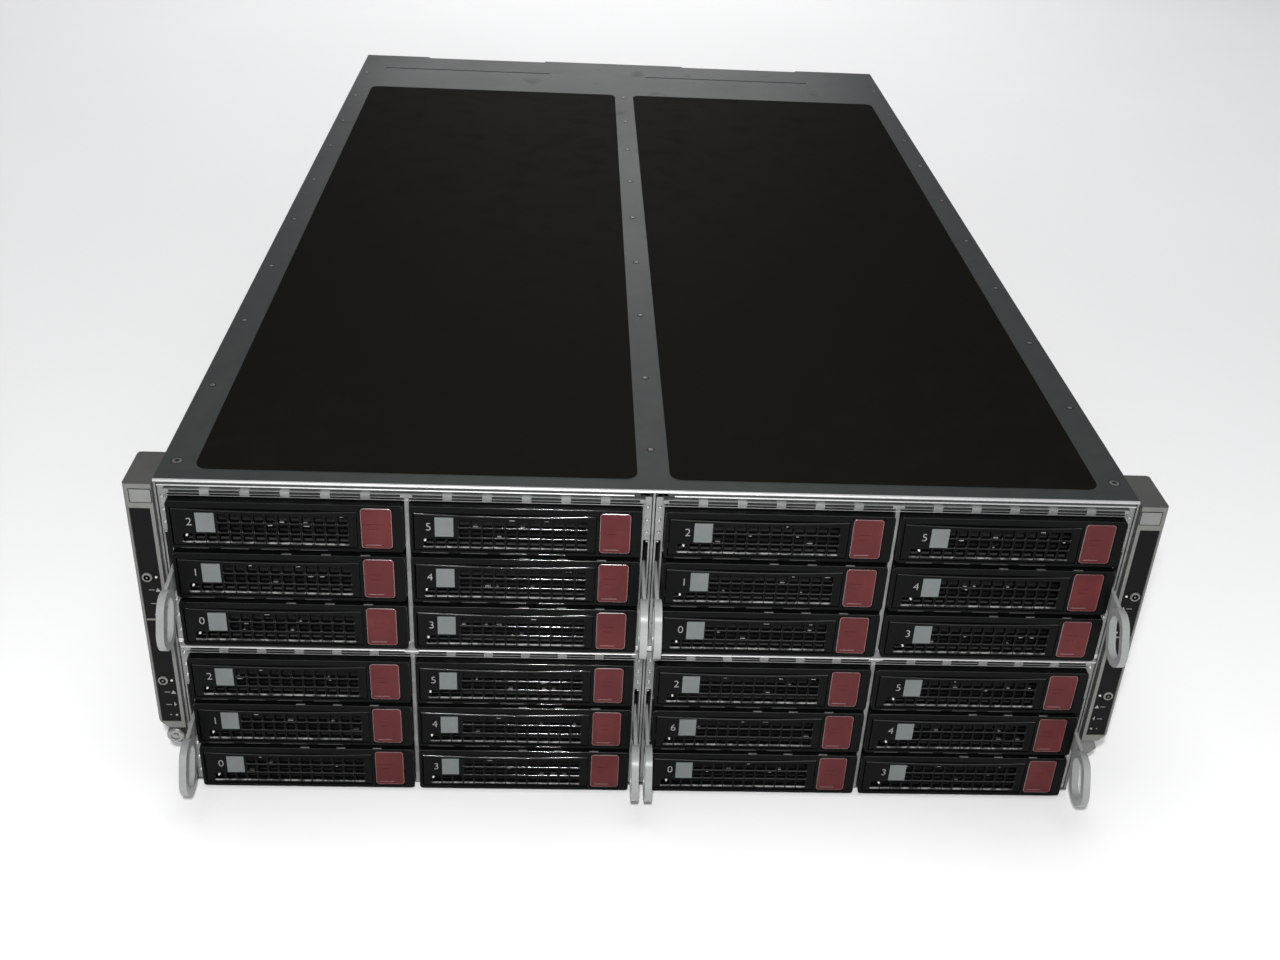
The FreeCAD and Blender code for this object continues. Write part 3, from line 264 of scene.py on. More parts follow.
PAINTS = {
    "cover": sheet_steel("cover_steel", tone(61, 66, 63), tone(43, 47, 46), 0.42, 0.4),
    "tub": sheet_steel("chassis_steel", tone(99, 103, 101), tone(74, 78, 77), 0.44, 0.4),
    "zinc": sheet_steel("sled_steel", tone(129, 132, 130), tone(94, 97, 95), 0.34, 0.7),
    # A bright metal, much lighter than the sheet it belongs to, for the sleds' beads and rivets: painted
    # highlight.
    "edge": bright_metal("rolled_edge_painted_highlight", grey(206), grey(158), 0.26, (1, 14, 14)),
    # A much lighter copy of the sheet steel for the cover's front fold, its hem beads and the middle
    # shelves' lips and joint plates: painted highlight.
    "fold_highlight": sheet_steel("folded_edge_painted_highlight", grey(216), grey(176), 0.42, 0.6),
    # A lighter copy of the sheet steel for faces that look to the front and for the sleds' tabs and
    # divider cap: painted highlight.
    "front_highlight": sheet_steel("front_painted_highlight_steel", tone(160, 162, 160), tone(84, 87, 85), 0.44, 0.4),
    "film": dark_film(),
    "black": moulded_plastic(
        "carrier_black", tone(6, 7, 7), tone(14, 15, 15), 0.4, Specular_IOR_Level=0.06
    ),
    "polish": moulded_plastic(
        "carrier_edges", tone(8, 9, 9), tone(14, 15, 15), 0.1, 0.00001, Specular_IOR_Level=0.7
    ),
    # Pale dashes on the lowest sills of the grille: painted highlight.
    "sill_highlight": sill_highlight_paint(),
    "red": moulded_plastic(
        "button_red", tone(70, 20, 22), tone(100, 40, 41), 0.42, Specular_IOR_Level=0.2
    ),
    "red_polish": moulded_plastic(
        "button_edges", tone(76, 24, 26), tone(92, 36, 38), 0.3, 0.00001, IOR=2.0, Specular_IOR_Level=0.8
    ),
    "ear": moulded_plastic("ear_silver", tone(72, 73, 69), tone(88, 88, 84), 0.4, Metallic=0.3),
    "border": moulded_plastic("ear_border", tone(103, 103, 99), tone(126, 126, 121), 0.4, Metallic=0.3),
    "panel": moulded_plastic(
        "panel_black", tone(7, 7, 7), tone(13, 12, 12), 0.36, Specular_IOR_Level=0.1
    ),
    "badge": moulded_plastic("badge_grey", tone(108, 110, 108), tone(122, 124, 121), 0.4),
    "lever": moulded_plastic("lever_grey", tone(128, 131, 130), tone(158, 160, 158), 0.36),
    "power": moulded_plastic("power_button_grey", tone(95, 95, 90), tone(129, 129, 124), 0.35),
    "dark": moulded_plastic("fan_black", tone(16, 16, 16), tone(31, 31, 32), 0.45),
    "chip": moulded_plastic("chip_black", tone(24, 24, 25), tone(40, 40, 40), 0.4),
    "ivory": moulded_plastic("socket_ivory", tone(156, 151, 133), tone(176, 171, 153), 0.45),
    "module": circuit_board("memory_board", tone(15, 51, 29), tone(34, 85, 52)),
    "board": circuit_board("main_board", tone(9, 45, 22), tone(22, 81, 40)),
    "sticker": paper_label(),
    "ink": printed_ink(),
    "lamp": lens("lamp_clear", tone(150, 150, 146), tone(206, 206, 202), 0.2),
    "screw": bright_metal("screw_steel", tone(183, 182, 179), tone(122, 122, 120), 0.24, (1, 1, 12)),
    "cast": bright_metal("drive_cast", tone(152, 154, 156), tone(126, 128, 130), 0.38, (12, 1, 1)),
    "fins": bright_metal("fin_aluminium", tone(182, 183, 185), tone(140, 142, 145), 0.32, (1, 1, 20)),
    "brass": bright_metal("standoff_brass", tone(183, 153, 81), tone(133, 104, 49), 0.3, (1, 1, 1)),
    "supply": bright_metal("supply_steel", tone(167, 169, 169), tone(129, 131, 131), 0.36, (1, 10, 1)),
    # Near-black paint for places that are only shade: painted shade on the sheet behind the grille, the
    # rings round rivets, the screw sockets and a disc on each power button.
    "painted_shade": moulded_plastic("shadow_black", tone(5, 5, 5), tone(11, 11, 11), 0.6),
}


# Modelling helpers

def swing(bm, verts, angle, axis):
    """Turn some points about an axis through the origin."""
    bmesh.ops.rotate(bm, cent=(0, 0, 0), matrix=Matrix.Rotation(angle, 3, axis), verts=verts)


def paint_round(verts, paint):
    """Paint the faces that meet at some points, and give them."""
    faces = list({face for vert in verts for face in vert.link_faces})
    for face in faces:
        face.material_index = paint
    return faces


def box_faces(bm, low, high, paint=0):
    """A box between two corners, and its faces."""
    low = Vector(low)
    high = Vector(high)
    verts = bmesh.ops.create_cube(bm, size=1.0)["verts"]
    bmesh.ops.scale(bm, vec=high - low, verts=verts)
    bmesh.ops.translate(bm, vec=(low + high) / 2, verts=verts)
    return paint_round(verts, paint)


def edges_of(faces):
    return list({edge for face in faces for edge in face.edges})


def round_edges(bm, edges, radius, segments=2, paint=None):
    """Bevel edges; the new faces keep the paint of their neighbours or get one of their own."""
    made = bmesh.ops.bevel(
        bm,
        geom=edges,
        offset=radius,
        offset_type="OFFSET",
        segments=segments,
        profile=0.5,
        affect="EDGES",
        material=-1,
        clamp_overlap=True,
    )
    if paint is not None:
        for face in made["faces"]:
            face.material_index = paint


def rounded_box(bm, low, high, radius, paint=0, segments=2):
    faces = box_faces(bm, low, high, paint)
    round_edges(bm, edges_of(faces), radius, segments)


def turned(bm, centre, direction, radius, length, paint=0, segments=24, tip=1.0, chamfer=0.0):
    """A round bar from centre along direction, narrowed by tip and chamfered at its far end."""
    made = bmesh.ops.create_cone(
        bm,
        cap_ends=True,
        segments=segments,
        radius1=radius,
        radius2=radius * tip,
        depth=length,
    )
    verts = made["verts"]
    direction = Vector(direction).normalized()
    far = [vert for vert in verts if vert.co.z > 0]
    faces = paint_round(verts, paint)
    turn = Vector((0, 0, 1)).rotation_difference(direction).to_matrix()
    bmesh.ops.rotate(bm, cent=(0, 0, 0), matrix=turn, verts=verts)
    bmesh.ops.translate(bm, vec=Vector(centre) + direction * length / 2, verts=verts)
    if chamfer:
        rim = [edge for edge in edges_of(faces) if all(vert in far for vert in edge.verts)]
        round_edges(bm, rim, chamfer, 2)


def islands(bm):
    """Groups of faces that hang together."""
    left = set(bm.faces)
    while left:
        start = left.pop()
        group = [start]
        queue = [start]
        while queue:
            face = queue.pop()
            for edge in face.edges:
                for other in edge.link_faces:
                    if other in left:
                        left.discard(other)
                        group.append(other)
                        queue.append(other)
        yield group


def sharp_edges(faces, least=30.0):
    limit = math.radians(least)
    return [
        edge
        for edge in edges_of(faces)
        if len(edge.link_faces) == 2 and edge.calc_face_angle(0.0) > limit
    ]


def edges_where(bm, test):
    """Sharp edges whose two ends pass a test."""
    return [edge for edge in sharp_edges(bm.faces, 40.0) if all(test(vert.co) for vert in edge.verts)]


def cad_copy(node):
    """A node's mesh in millimetres, merged and with its flat faces made whole."""
    bm = bmesh.new()
    bm.from_mesh(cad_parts[node].data)
    bmesh.ops.scale(bm, vec=(1 / MM, 1 / MM, 1 / MM), verts=bm.verts)
    bmesh.ops.remove_doubles(bm, verts=bm.verts, dist=0.001)
    bmesh.ops.dissolve_limit(bm, angle_limit=0.02, verts=bm.verts, edges=bm.edges)
    return bm


def extent(faces):
    """Lowest corner and size of some faces."""
    points = [vert.co for face in faces for vert in face.verts]
    low = Vector(min(point[axis] for point in points) for axis in range(3))
    high = Vector(max(point[axis] for point in points) for axis in range(3))
    return low, high - low


def piece(name, bm, body, paints, stands_for=(), crease=SOFT_CREASE):
    """Finish a model as a piece that rides on a body."""
    bmesh.ops.scale(bm, vec=(MM, MM, MM), verts=bm.verts)
    mesh = bpy.data.meshes.new(name)
    bm.to_mesh(mesh)
    bm.free()
    for paint in paints:
        mesh.materials.append(PAINTS[paint])
    mesh.polygons.foreach_set("use_smooth", [True] * len(mesh.polygons))
    mesh.set_sharp_from_angle(angle=math.radians(crease))
    item = bpy.data.objects.new(name, mesh)
    bpy.context.scene.collection.objects.link(item)
    evened = item.modifiers.new("even_shading", "WEIGHTED_NORMAL")
    evened.keep_sharp = True
    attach(item, body)
    if stands_for:
        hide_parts(*stands_for)
    return item


def dress(node, body, paints, choose, radius, drop=None, front=None, crease=SOFT_CREASE):
    """Stand in for a node with its own solids, painted by size and with softened edges.

    Faces that look out at the machine's front can have a paint of their own, which the callers make
    lighter as a painted highlight.
    """
    bm = cad_copy(node)
    gone = []
    for group in islands(bm):
        size = extent(group)[1]
        if drop and drop(size):
            gone += group
            continue
        index = choose(size)
        for face in group:
            ahead = face.normal.y < -0.8 and face.calc_center_median().y < FRONT + 3.0
            face.material_index = front if ahead and front is not None else index
    bmesh.ops.delete(bm, geom=gone, context="FACES")
    round_edges(bm, sharp_edges(bm.faces), radius, 2)
    return piece(f"{node}_dressed", bm, body, paints, (node,), crease)


def shape(build):
    """Draw a shape once, as a mesh that can be joined into many pieces."""
    bm = bmesh.new()
    build(bm)
    mesh = bpy.data.meshes.new(build.__name__)
    bm.to_mesh(mesh)
    bm.free()
    return mesh


def join(bm, mesh, shift):
    """Add a drawn shape to a model, moved to its place."""
    count = len(bm.verts)
    bm.from_mesh(mesh)
    bm.verts.ensure_lookup_table()
    bmesh.ops.translate(bm, vec=shift, verts=bm.verts[count:])


# Drive carriers

CARRIER_PAINTS = ("black", "polish", "red", "red_polish", "sticker", "ink", "lamp", "cast", "screw")
CARRIER_PAINTS += ("painted_shade", "board", "sill_highlight")
BLACK, POLISH, RED, RED_POLISH, STICKER, INK, LAMP, CAST, SCREW, PAINTED_SHADE, BOARD, SILL_HIGHLIGHT = range(
    len(CARRIER_PAINTS)
)
BEZEL_LOW = -0.3
BEZEL_HIGH = 24.5
BEZEL_HALF = 52.5
BEZEL_DEPTH = 6.0
BEZEL_CORNER = 3.0
LATCH_WINDOW = (-51.0, 31.9, 1.2, 21.2)
BUTTON_WINDOW = (33.1, 47.8, 1.2, 23.0)
RAIL_INNER = 51.0
LATCH_LEFT = -50.4
LATCH_RIGHT = 31.6
LATCH_LOW = 1.5
LATCH_HIGH = 20.9
LATCH_FRONT = -5.8
LATCH_BOW = 0.3
LATCH_SAG = 1.2
LATCH_SHEET = 2.2
LATCH_GRIP = 27.6
LATCH_BENDS = (-48.0, -45.5, -43.0, 29.0, 30.4)
CELL = 4.2
CELL_PITCH = 5.35
GRILLE_LEFT = -30.2
GRILLE_COLUMNS = 11
EXTRA_COLUMNS = 3
CELL_ROWS = (3.1, 8.4, 13.7)
RAIL_END = 154.8
CONTACT_PITCH = 17.8
GLINTS = 5


def upright_sheet(bm, left, right, low, high):
    """One flat face that stands on edge and faces the front."""
    verts = bmesh.ops.create_grid(bm, x_segments=1, y_segments=1, size=0.5)["verts"]
    swing(bm, verts, QUARTER, "X")
    bmesh.ops.scale(bm, vec=(right - left, 1.0, high - low), verts=verts)
    middle = ((left + right) / 2, 0.0, (low + high) / 2)
    bmesh.ops.translate(bm, vec=middle, verts=verts)


def slice_sheet(bm, across, up):
    """Cut a standing sheet along upright and level lines."""
    for place, normal in [((x, 0, 0), (1, 0, 0)) for x in across] + [((0, 0, z), (0, 0, 1)) for z in up]:
        geometry = bm.verts[:] + bm.edges[:] + bm.faces[:]
        bmesh.ops.bisect_plane(bm, geom=geometry, dist=0.0001, plane_co=place, plane_no=normal)


def punch(bm, windows):
    """Take out the faces that lie in the windows."""
    gone = []
    for face in bm.faces:
        middle = face.calc_center_median()
        for left, right, low, high in windows:
            if left < middle.x < right and low < middle.z < high:
                gone.append(face)
                break
    bmesh.ops.delete(bm, geom=gone, context="FACES")


def thicken(bm, depth):
    """Give a standing sheet its depth towards the rear."""
    made = bmesh.ops.extrude_face_region(bm, geom=bm.faces[:])
    moved = [item for item in made["geom"] if isinstance(item, bmesh.types.BMVert)]
    bmesh.ops.translate(bm, vec=(0, depth, 0), verts=moved)
    bmesh.ops.recalc_face_normals(bm, faces=bm.faces)


def on_brow(co):
    """Whether a point lies on the front edge of the bezel's top and its two upper corners."""
    top = co.z > BEZEL_HIGH - 0.01
    reach = BEZEL_CORNER + 0.01
    corner = co.z > BEZEL_HIGH - reach and abs(co.x) > BEZEL_HALF - reach
    return co.y < 0.01 - BEZEL_DEPTH and (top or corner)


def bezel(bm):
    """Front frame with rounded corners, side rails and the bar behind the drive."""
    upright_sheet(bm, -BEZEL_HALF, BEZEL_HALF, BEZEL_LOW, BEZEL_HIGH)
    slice_sheet(bm, LATCH_WINDOW[:2] + BUTTON_WINDOW[:2], LATCH_WINDOW[2:] + BUTTON_WINDOW[3:])
    punch(bm, (LATCH_WINDOW, BUTTON_WINDOW))
    bmesh.ops.dissolve_limit(bm, angle_limit=0.01, verts=bm.verts, edges=bm.edges)
    thicken(bm, BEZEL_DEPTH)
    bmesh.ops.translate(bm, vec=(0, -BEZEL_DEPTH, 0), verts=bm.verts)
    corners = []
    for edge in bm.edges:
        first, second = (vert.co for vert in edge.verts)
        along = abs(first.y - second.y) > 1.0
        outer = abs(abs(first.x) - BEZEL_HALF) < 0.01
        end = min(abs(first.z - BEZEL_LOW), abs(first.z - BEZEL_HIGH)) < 0.01
        if along and outer and end:
            corners.append(edge)
    round_edges(bm, corners, BEZEL_CORNER, 5)
    round_edges(bm, edges_where(bm, on_brow), 0.9, 4, POLISH)
    round_edges(bm, edges_where(bm, lambda co: co.y < 0.01 - BEZEL_DEPTH), 0.45, 3, POLISH)
    for side in (-1, 1):
        inner, outer = sorted((side * RAIL_INNER, side * BEZEL_HALF))
        rounded_box(bm, (inner, -0.2, 2.0), (outer, RAIL_END, 22.0), 0.3, BLACK)
    rounded_box(bm, (-51.2, 153.2, 2.0), (51.2, RAIL_END, 8.0), 0.3, BLACK)
    rounded_box(bm, (48.6, -5.95, 3.0), (49.2, -5.7, 21.5), 0.05, BLACK)
    # A dark sheet in front of the drive, where there is only shade: painted shade.
    rounded_box(bm, (-50.6, 5.2, 1.0), (50.6, 6.1, 24.0), 0.2, PAINTED_SHADE)


def bowed(across):
    """Depth of the latch's front face: it slopes in from the pin and rises again at the grip."""
    if across < GRILLE_LEFT:
        share = (across - LATCH_LEFT) / (GRILLE_LEFT - LATCH_LEFT)
        return LATCH_FRONT + LATCH_BOW * math.sin(share * math.pi / 2)
    share = max(0.0, (across - LATCH_GRIP) / (LATCH_RIGHT - LATCH_GRIP))
    return LATCH_FRONT + LATCH_BOW * (1 - share * share)


def bow(bm):
    """Bend the latch's face, and let its top edge sag between its ends."""
    middle = (LATCH_LEFT + LATCH_RIGHT) / 2
    reach = (LATCH_RIGHT - LATCH_LEFT) / 2
    for vert in bm.verts:
        vert.co.y += bowed(vert.co.x)
        if vert.co.z > LATCH_HIGH - 0.01:
            share = (vert.co.x - middle) / reach
            vert.co.z -= LATCH_SAG * (1 - share * share)


def latch_edges(bm, low, high):
    """Sharp edges of the latch's front face between two levels."""
    front = edges_where(bm, lambda co: co.y < bowed(co.x) + 0.05)
    return [edge for edge in front if all(low < vert.co.z < high for vert in edge.verts)]


def latch(bm):
    """Dished lever with a grille of square holes, whose lowest row runs on to the left."""
    upright_sheet(bm, LATCH_LEFT, LATCH_RIGHT, LATCH_LOW, LATCH_HIGH)
    cells = []
    for column in range(-EXTRA_COLUMNS, GRILLE_COLUMNS):
        left = GRILLE_LEFT + column * CELL_PITCH
        for row, low in enumerate(CELL_ROWS):
            if column >= 0 or row == 0:
                cells.append((left, left + CELL, low, low + CELL))
    across = sorted({edge for cell in cells for edge in cell[:2]})
    up = sorted({edge for cell in cells for edge in cell[2:]})
    slice_sheet(bm, across + list(LATCH_BENDS), up)
    punch(bm, cells)
    thicken(bm, LATCH_SHEET)
    bow(bm)
    brow = latch_edges(bm, CELL_ROWS[-1] + CELL + 0.01, LATCH_HIGH + 1.0)
    round_edges(bm, brow, 0.6, 3, POLISH)
    # The lowest row of sills gets the painted highlight paint; the rows above get the glossy edge paint.
    for level, radius, paint in zip(CELL_ROWS, (0.6, 0.5, 0.5), (SILL_HIGHLIGHT, POLISH, POLISH)):
        round_edges(bm, latch_edges(bm, level - 0.01, level + 0.01), radius, 3, paint)
    round_edges(bm, latch_edges(bm, LATCH_LOW - 1.0, LATCH_HIGH + 1.0), 0.3, 2)


def push_button(bm):
    """Red button with a raised border round a sunk face."""
    faces = box_faces(bm, (33.4, -6.0, 1.5), (47.5, 1.0, 22.7), RED)
    long_edges = []
    for edge in edges_of(faces):
        first, second = (vert.co for vert in edge.verts)
        if abs(first.y - second.y) > 1.0:
            long_edges.append(edge)
    round_edges(bm, long_edges, 1.5, 4)
    front = [face for face in bm.faces if face.calc_center_median().y < -5.99]
    bmesh.ops.inset_region(bm, faces=front, thickness=1.2, depth=0.0)
    sunk = list({vert for face in front for vert in face.verts})
    bmesh.ops.translate(bm, vec=(0, 0.55, 0), verts=sunk)
    broad_side = [vert for vert in sunk if vert.co.x > 42.0]
    bmesh.ops.translate(bm, vec=(-1.5, 0, 0), verts=broad_side)
    round_edges(bm, edges_where(bm, lambda co: co.y < -5.3), 0.35, 3, RED_POLISH)
    for low, left, right, paint in (
        (13.7, 36.4, 41.9, RED),
        (11.1, 36.6, 40.9, RED),
        (2.9, 35.4, 42.4, RED_POLISH),
    ):
        rounded_box(bm, (left, -5.6, low), (right, -5.4, low + 0.4), 0.1, paint)


def drive(bm):
    """Cast drive body with a lid, screws, board and plug."""
    rounded_box(bm, (-50.8, 6.0, 1.2), (50.8, 153.0, 22.6), 0.8, CAST)
    rounded_box(bm, (-48.5, 8.5, 22.4), (48.5, 150.5, 25.6), 0.6, CAST)
    for across in (-45.0, 45.0):
        for back in (14.0, 80.0, 145.0):
            turned(bm, (across, back, 25.5), (0, 0, 1), 2.2, 0.5, SCREW, 16, 0.9)
    rounded_box(bm, (-46.0, 10.0, 0.1), (46.0, 120.0, 1.3), 0.2, BOARD)
    rounded_box(bm, (-42.0, 143.0, 0.6), (2.0, 153.0, 6.5), 0.4, BLACK)


def digit_meshes():
    """Plain figures, flat on the front plane, about 4 mm high."""
    meshes = {}
    for figure in "0123456":
        curve = bpy.data.curves.new(f"figure_{figure}", "FONT")
        curve.body = figure
        curve.align_x = "CENTER"
        curve.size = 5.8
        curve.offset = -0.07
        curve.extrude = 0.06
        holder = bpy.data.objects.new(f"figure_{figure}", curve)
        bpy.context.scene.collection.objects.link(holder)
        bpy.context.view_layer.update()
        made = holder.evaluated_get(bpy.context.evaluated_depsgraph_get())
        bm = bmesh.new()
        bm.from_mesh(bpy.data.meshes.new_from_object(made))
        bpy.data.objects.remove(holder)
        bpy.data.curves.remove(curve)
        bmesh.ops.remove_doubles(bm, verts=bm.verts, dist=0.0005)
        low, size = extent(bm.faces)
        bmesh.ops.translate(bm, vec=-(low + size / 2), verts=bm.verts)
        swing(bm, bm.verts, QUARTER, "X")
        for face in bm.faces:
            face.material_index = INK
        meshes[figure] = bpy.data.meshes.new(f"figure_{figure}")
        bm.to_mesh(meshes[figure])
        bm.free()
    return meshes


def label_square(bm):
    """Paper square that follows the latch's slope."""
    box_faces(bm, (-4.2, -0.16, -5.1), (4.2, 0.3, 5.1), STICKER)
    for across in (-2.1, 0.0, 2.1):
        geometry = bm.verts[:] + bm.edges[:] + bm.faces[:]
        place = (across, 0, 0)
        bmesh.ops.bisect_plane(bm, geom=geometry, dist=0.0001, plane_co=place, plane_no=(1, 0, 0))


def fingers(bm):
    """Spring contacts that lie on the bezel, under the carrier above."""
    for index in range(3):
        across = index * CONTACT_PITCH - 0.9
        rounded_box(bm, (across - 2.2, -5.7, 24.2), (across + 2.2, -4.8, 24.75), 0.2, SCREW)


def lower_rail(bm):
    """Bright strip along the bezel's underside, notched for the contacts below."""
    for index in range(-2, 2):
        left = index * CONTACT_PITCH - 12.0
        rounded_box(bm, (left, -6.1, -0.35), (left + 12.4, -5.5, 0.35), 0.25, POLISH, 3)


def lamp_guide(bm):
    turned(bm, (0, 0.6, 0), (0, -1, 0), 0.55, 0.95, LAMP, 16, 0.85, 0.2)


DRAWN = (bezel, latch, push_button, drive, fingers, lower_rail, label_square, lamp_guide)
SHAPES = {build.__name__: shape(build) for build in DRAWN}
FIGURES = digit_meshes()
LABEL_X = {
    ("left", "left"): -35.8,
    ("left", "right"): -37.0,
    ("right", "left"): -35.0,
    ("right", "right"): -33.6,
}
ORDER = {"left": "012", "right": "345"}
rng = random.Random(7)


def add_glints(bm, origin):
    """Bright steel strips laid on the sills of a few cells, standing in for glints there: painted
    highlight.
    """
    for _ in range(GLINTS):
        column = rng.randrange(GRILLE_COLUMNS)
        left = GRILLE_LEFT + column * CELL_PITCH + rng.uniform(0.2, 1.2)
        wide = rng.uniform(0.8, 2.6)
        level = rng.choice(CELL_ROWS[1:]) + rng.choice((0.1, 3.5))
        low = origin + Vector((left, bowed(left) + 0.5, level))
        box_faces(bm, low, low + Vector((wide, 1.2, rng.uniform(0.2, 0.45))), SCREW)


def marked_latch(bm, figure, label_x, origin):
    """The latch with its label, figure and lamp."""
    join(bm, SHAPES["latch"], origin)
    add_glints(bm, origin)
    count = len(bm.verts)
    join(bm, SHAPES["label_square"], (label_x, 0, 13.5 + rng.uniform(-0.35, 0.35)))
    bm.verts.ensure_lookup_table()
    for vert in bm.verts[count:]:
        vert.co.y += bowed(vert.co.x)
    bmesh.ops.translate(bm, vec=origin, verts=bm.verts[count:])
    figure_x = label_x - 7.1
    depth = bowed(figure_x)
    tilt = math.atan2(bowed(figure_x + 1) - bowed(figure_x - 1), 2.0)
    count = len(bm.verts)
    join(bm, FIGURES[figure], (0, 0, 0))
    bm.verts.ensure_lookup_table()
    verts = bm.verts[count:]
    swing(bm, verts, tilt, "Z")
    bmesh.ops.translate(bm, vec=Vector(origin) + Vector((figure_x, depth - 0.05, 13.7)), verts=verts)
    join(bm, SHAPES["lamp_guide"], Vector(origin) + Vector((figure_x - 1.6, depth - 0.2, 6.6)))


def carrier_origin(name):
    """Middle of a carrier's front datum, level with its drive's underside."""
    low, high = (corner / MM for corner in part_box(name))
    return Vector(((low.x + high.x) / 2, low.y + BEZEL_DEPTH, low.z - BEZEL_LOW))


def build_carriers():
    for bay in BAYS:
        for column in COLUMNS:
            for row in ROWS:
                name = f"carrier_{bay}_{column}_{row}"
                figure = ORDER[column][row - 1]
                if (bay, column, row) == ("lower_right", "left", 2):
                    figure = "6"
                origin = carrier_origin(name)
                label_x = LABEL_X[bay.split("_")[1], column]
                bm = bmesh.new()
                join(bm, SHAPES["bezel"], origin)
                join(bm, SHAPES["drive"], origin)
                if row < 3:
                    join(bm, SHAPES["fingers"], origin)
                if row > 1:
                    join(bm, SHAPES["lower_rail"], origin)
                if name == OPEN_CARRIER:
                    turned(bm, origin + Vector((-48.8, -4.52, 1.2)), (0, 0, 1), 0.7, 20.0, SCREW, 16)
                    lever = bmesh.new()
                    marked_latch(lever, figure, label_x, origin)
                    button = bmesh.new()
                    join(button, SHAPES["push_button"], origin)
                    for part, model, slot in (
                        ("latch_lever", lever, "carrier_black"),
                        ("release_button", button, "button_red"),
                    ):
                        piece(f"{part}_dressed", model, part, CARRIER_PAINTS, (part,))
                else:
                    marked_latch(bm, figure, label_x, origin)
                    join(bm, SHAPES["push_button"], origin)
                piece(f"{name}_dressed", bm, name, CARRIER_PAINTS, (name,))


# Sheet metal, ears and levers

PANEL_SIDES = (225.8, 235.0)
BUTTON_LEVELS = (65.6, 125.8)


def plain(size):
    return 0


def midplane_paint(size):
    return int(size.y > 5)


def build_cover():
    bm = cad_copy("top_cover")
    fold_highlight = edges_where(bm, lambda co: co.y < FRONT + 0.01 and co.z > COVER_TOP - 0.01)
    # The fold's rounded faces get the lighter steel: painted highlight.
    round_edges(bm, fold_highlight, 1.1, 5, 1)
    round_edges(bm, edges_where(bm, lambda co: abs(co.x) > HALF_WIDTH - 0.01), 0.5, 3)
    round_edges(bm, edges_where(bm, lambda co: True), 0.25, 2)
    # Hem beads under the fold, in the lighter steel: painted highlight.
    for left, right in ((-222.5, -9.0), (9.0, 222.5)):
        rounded_box(bm, (left, FRONT - 0.5, 173.7), (right, FRONT + 0.4, 174.5), 0.35, 1, 3)
    piece("top_cover_dressed", bm, "chassis", ("cover", "fold_highlight"), ("top_cover",))
    # Front-facing faces of the tub and the centre wall get the lighter steel: painted highlight.
    dress("chassis_tub", "chassis", ("tub", "front_highlight"), plain, 0.3, front=1)
    dress("centre_wall", "chassis", ("zinc", "front_highlight"), plain, 0.25, front=1)
    # The middle shelves' front faces get the lighter fold steel: painted highlight.
    dress("mid_shelves", "chassis", ("zinc", "fold_highlight"), plain, 0.4, front=1)
    dress("power_bay_frames", "chassis", ("zinc",), plain, 0.2)
    dress("power_midplanes", "chassis", ("board", "dark"), midplane_paint, 0.2)
    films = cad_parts["cover_films"]
    films.data.materials.clear()
    films.data.materials.append(PAINTS["film"])


def build_fixings():
    """Rivets and screws of the chassis, and the lips and joint plates of the middle shelves; the rings
    round rivets and the screw sockets are painted shade, the lips and plates a painted highlight.
    """
    bm = bmesh.new()
    spots = []
    for back in (93.0, 171.0, 249.0, 327.0, 404.0, 479.0, 541.0, 610.0, 680.0):
        spots += [(-218.0, back), (218.0, back)]
    for back in (38.0, 114.0, 193.0, 272.0, 350.0, 422.0, 494.0, 565.0, 632.0):
        spots.append((-0.5, back))
    for across, back in spots:
        foot = (across, FRONT + back, COVER_TOP - 0.05)
        # A dark ring under each rivet head: painted shade.
        turned(bm, foot, (0, 0, 1), 1.9, 0.09, 1, 20)
        turned(bm, foot, (0, 0, 1), 1.45, 0.33, 0, 20, 0.6)
    for across in (-217.0, 217.0):
        foot = Vector((across, FRONT + 17.0, COVER_TOP - 0.05))
        turned(bm, foot, (0, 0, 1), 2.9, 0.09, 1, 24)
        turned(bm, foot, (0, 0, 1), 2.5, 0.28, 0, 24, 0.8)
        # The dark socket of each corner screw: painted shade.
        turned(bm, foot, (0, 0, 1), 1.3, 0.31, 1, 6)
    for side in (-1, 1):
        for up in (12.0, 88.0, 164.0):
            for back in (60.0, 220.0, 380.0, 540.0, 700.0):
                foot = (side * (HALF_WIDTH - 0.1), FRONT + back, up)
                turned(bm, foot, (side, 0, 0), 2.4, 0.6, 0, 20, 0.6)
        middle = side * BAY_CENTRE
        # Joint plates and shelf lips in the lighter steel: painted highlight.
        rounded_box(bm, (middle - 3.5, FRONT - 5.9, 87.5), (middle + 3.5, FRONT - 4.6, 88.6), 0.3, 2)
        ends = sorted((side * 4.5, side * 220.0))
        rounded_box(bm, (ends[0], FRONT - 5.6, 87.7), (ends[1], FRONT + 0.8, 88.5), 0.35, 2, 3)
    piece("chassis_fixings", bm, "chassis", ("screw", "painted_shade", "fold_highlight"), ())


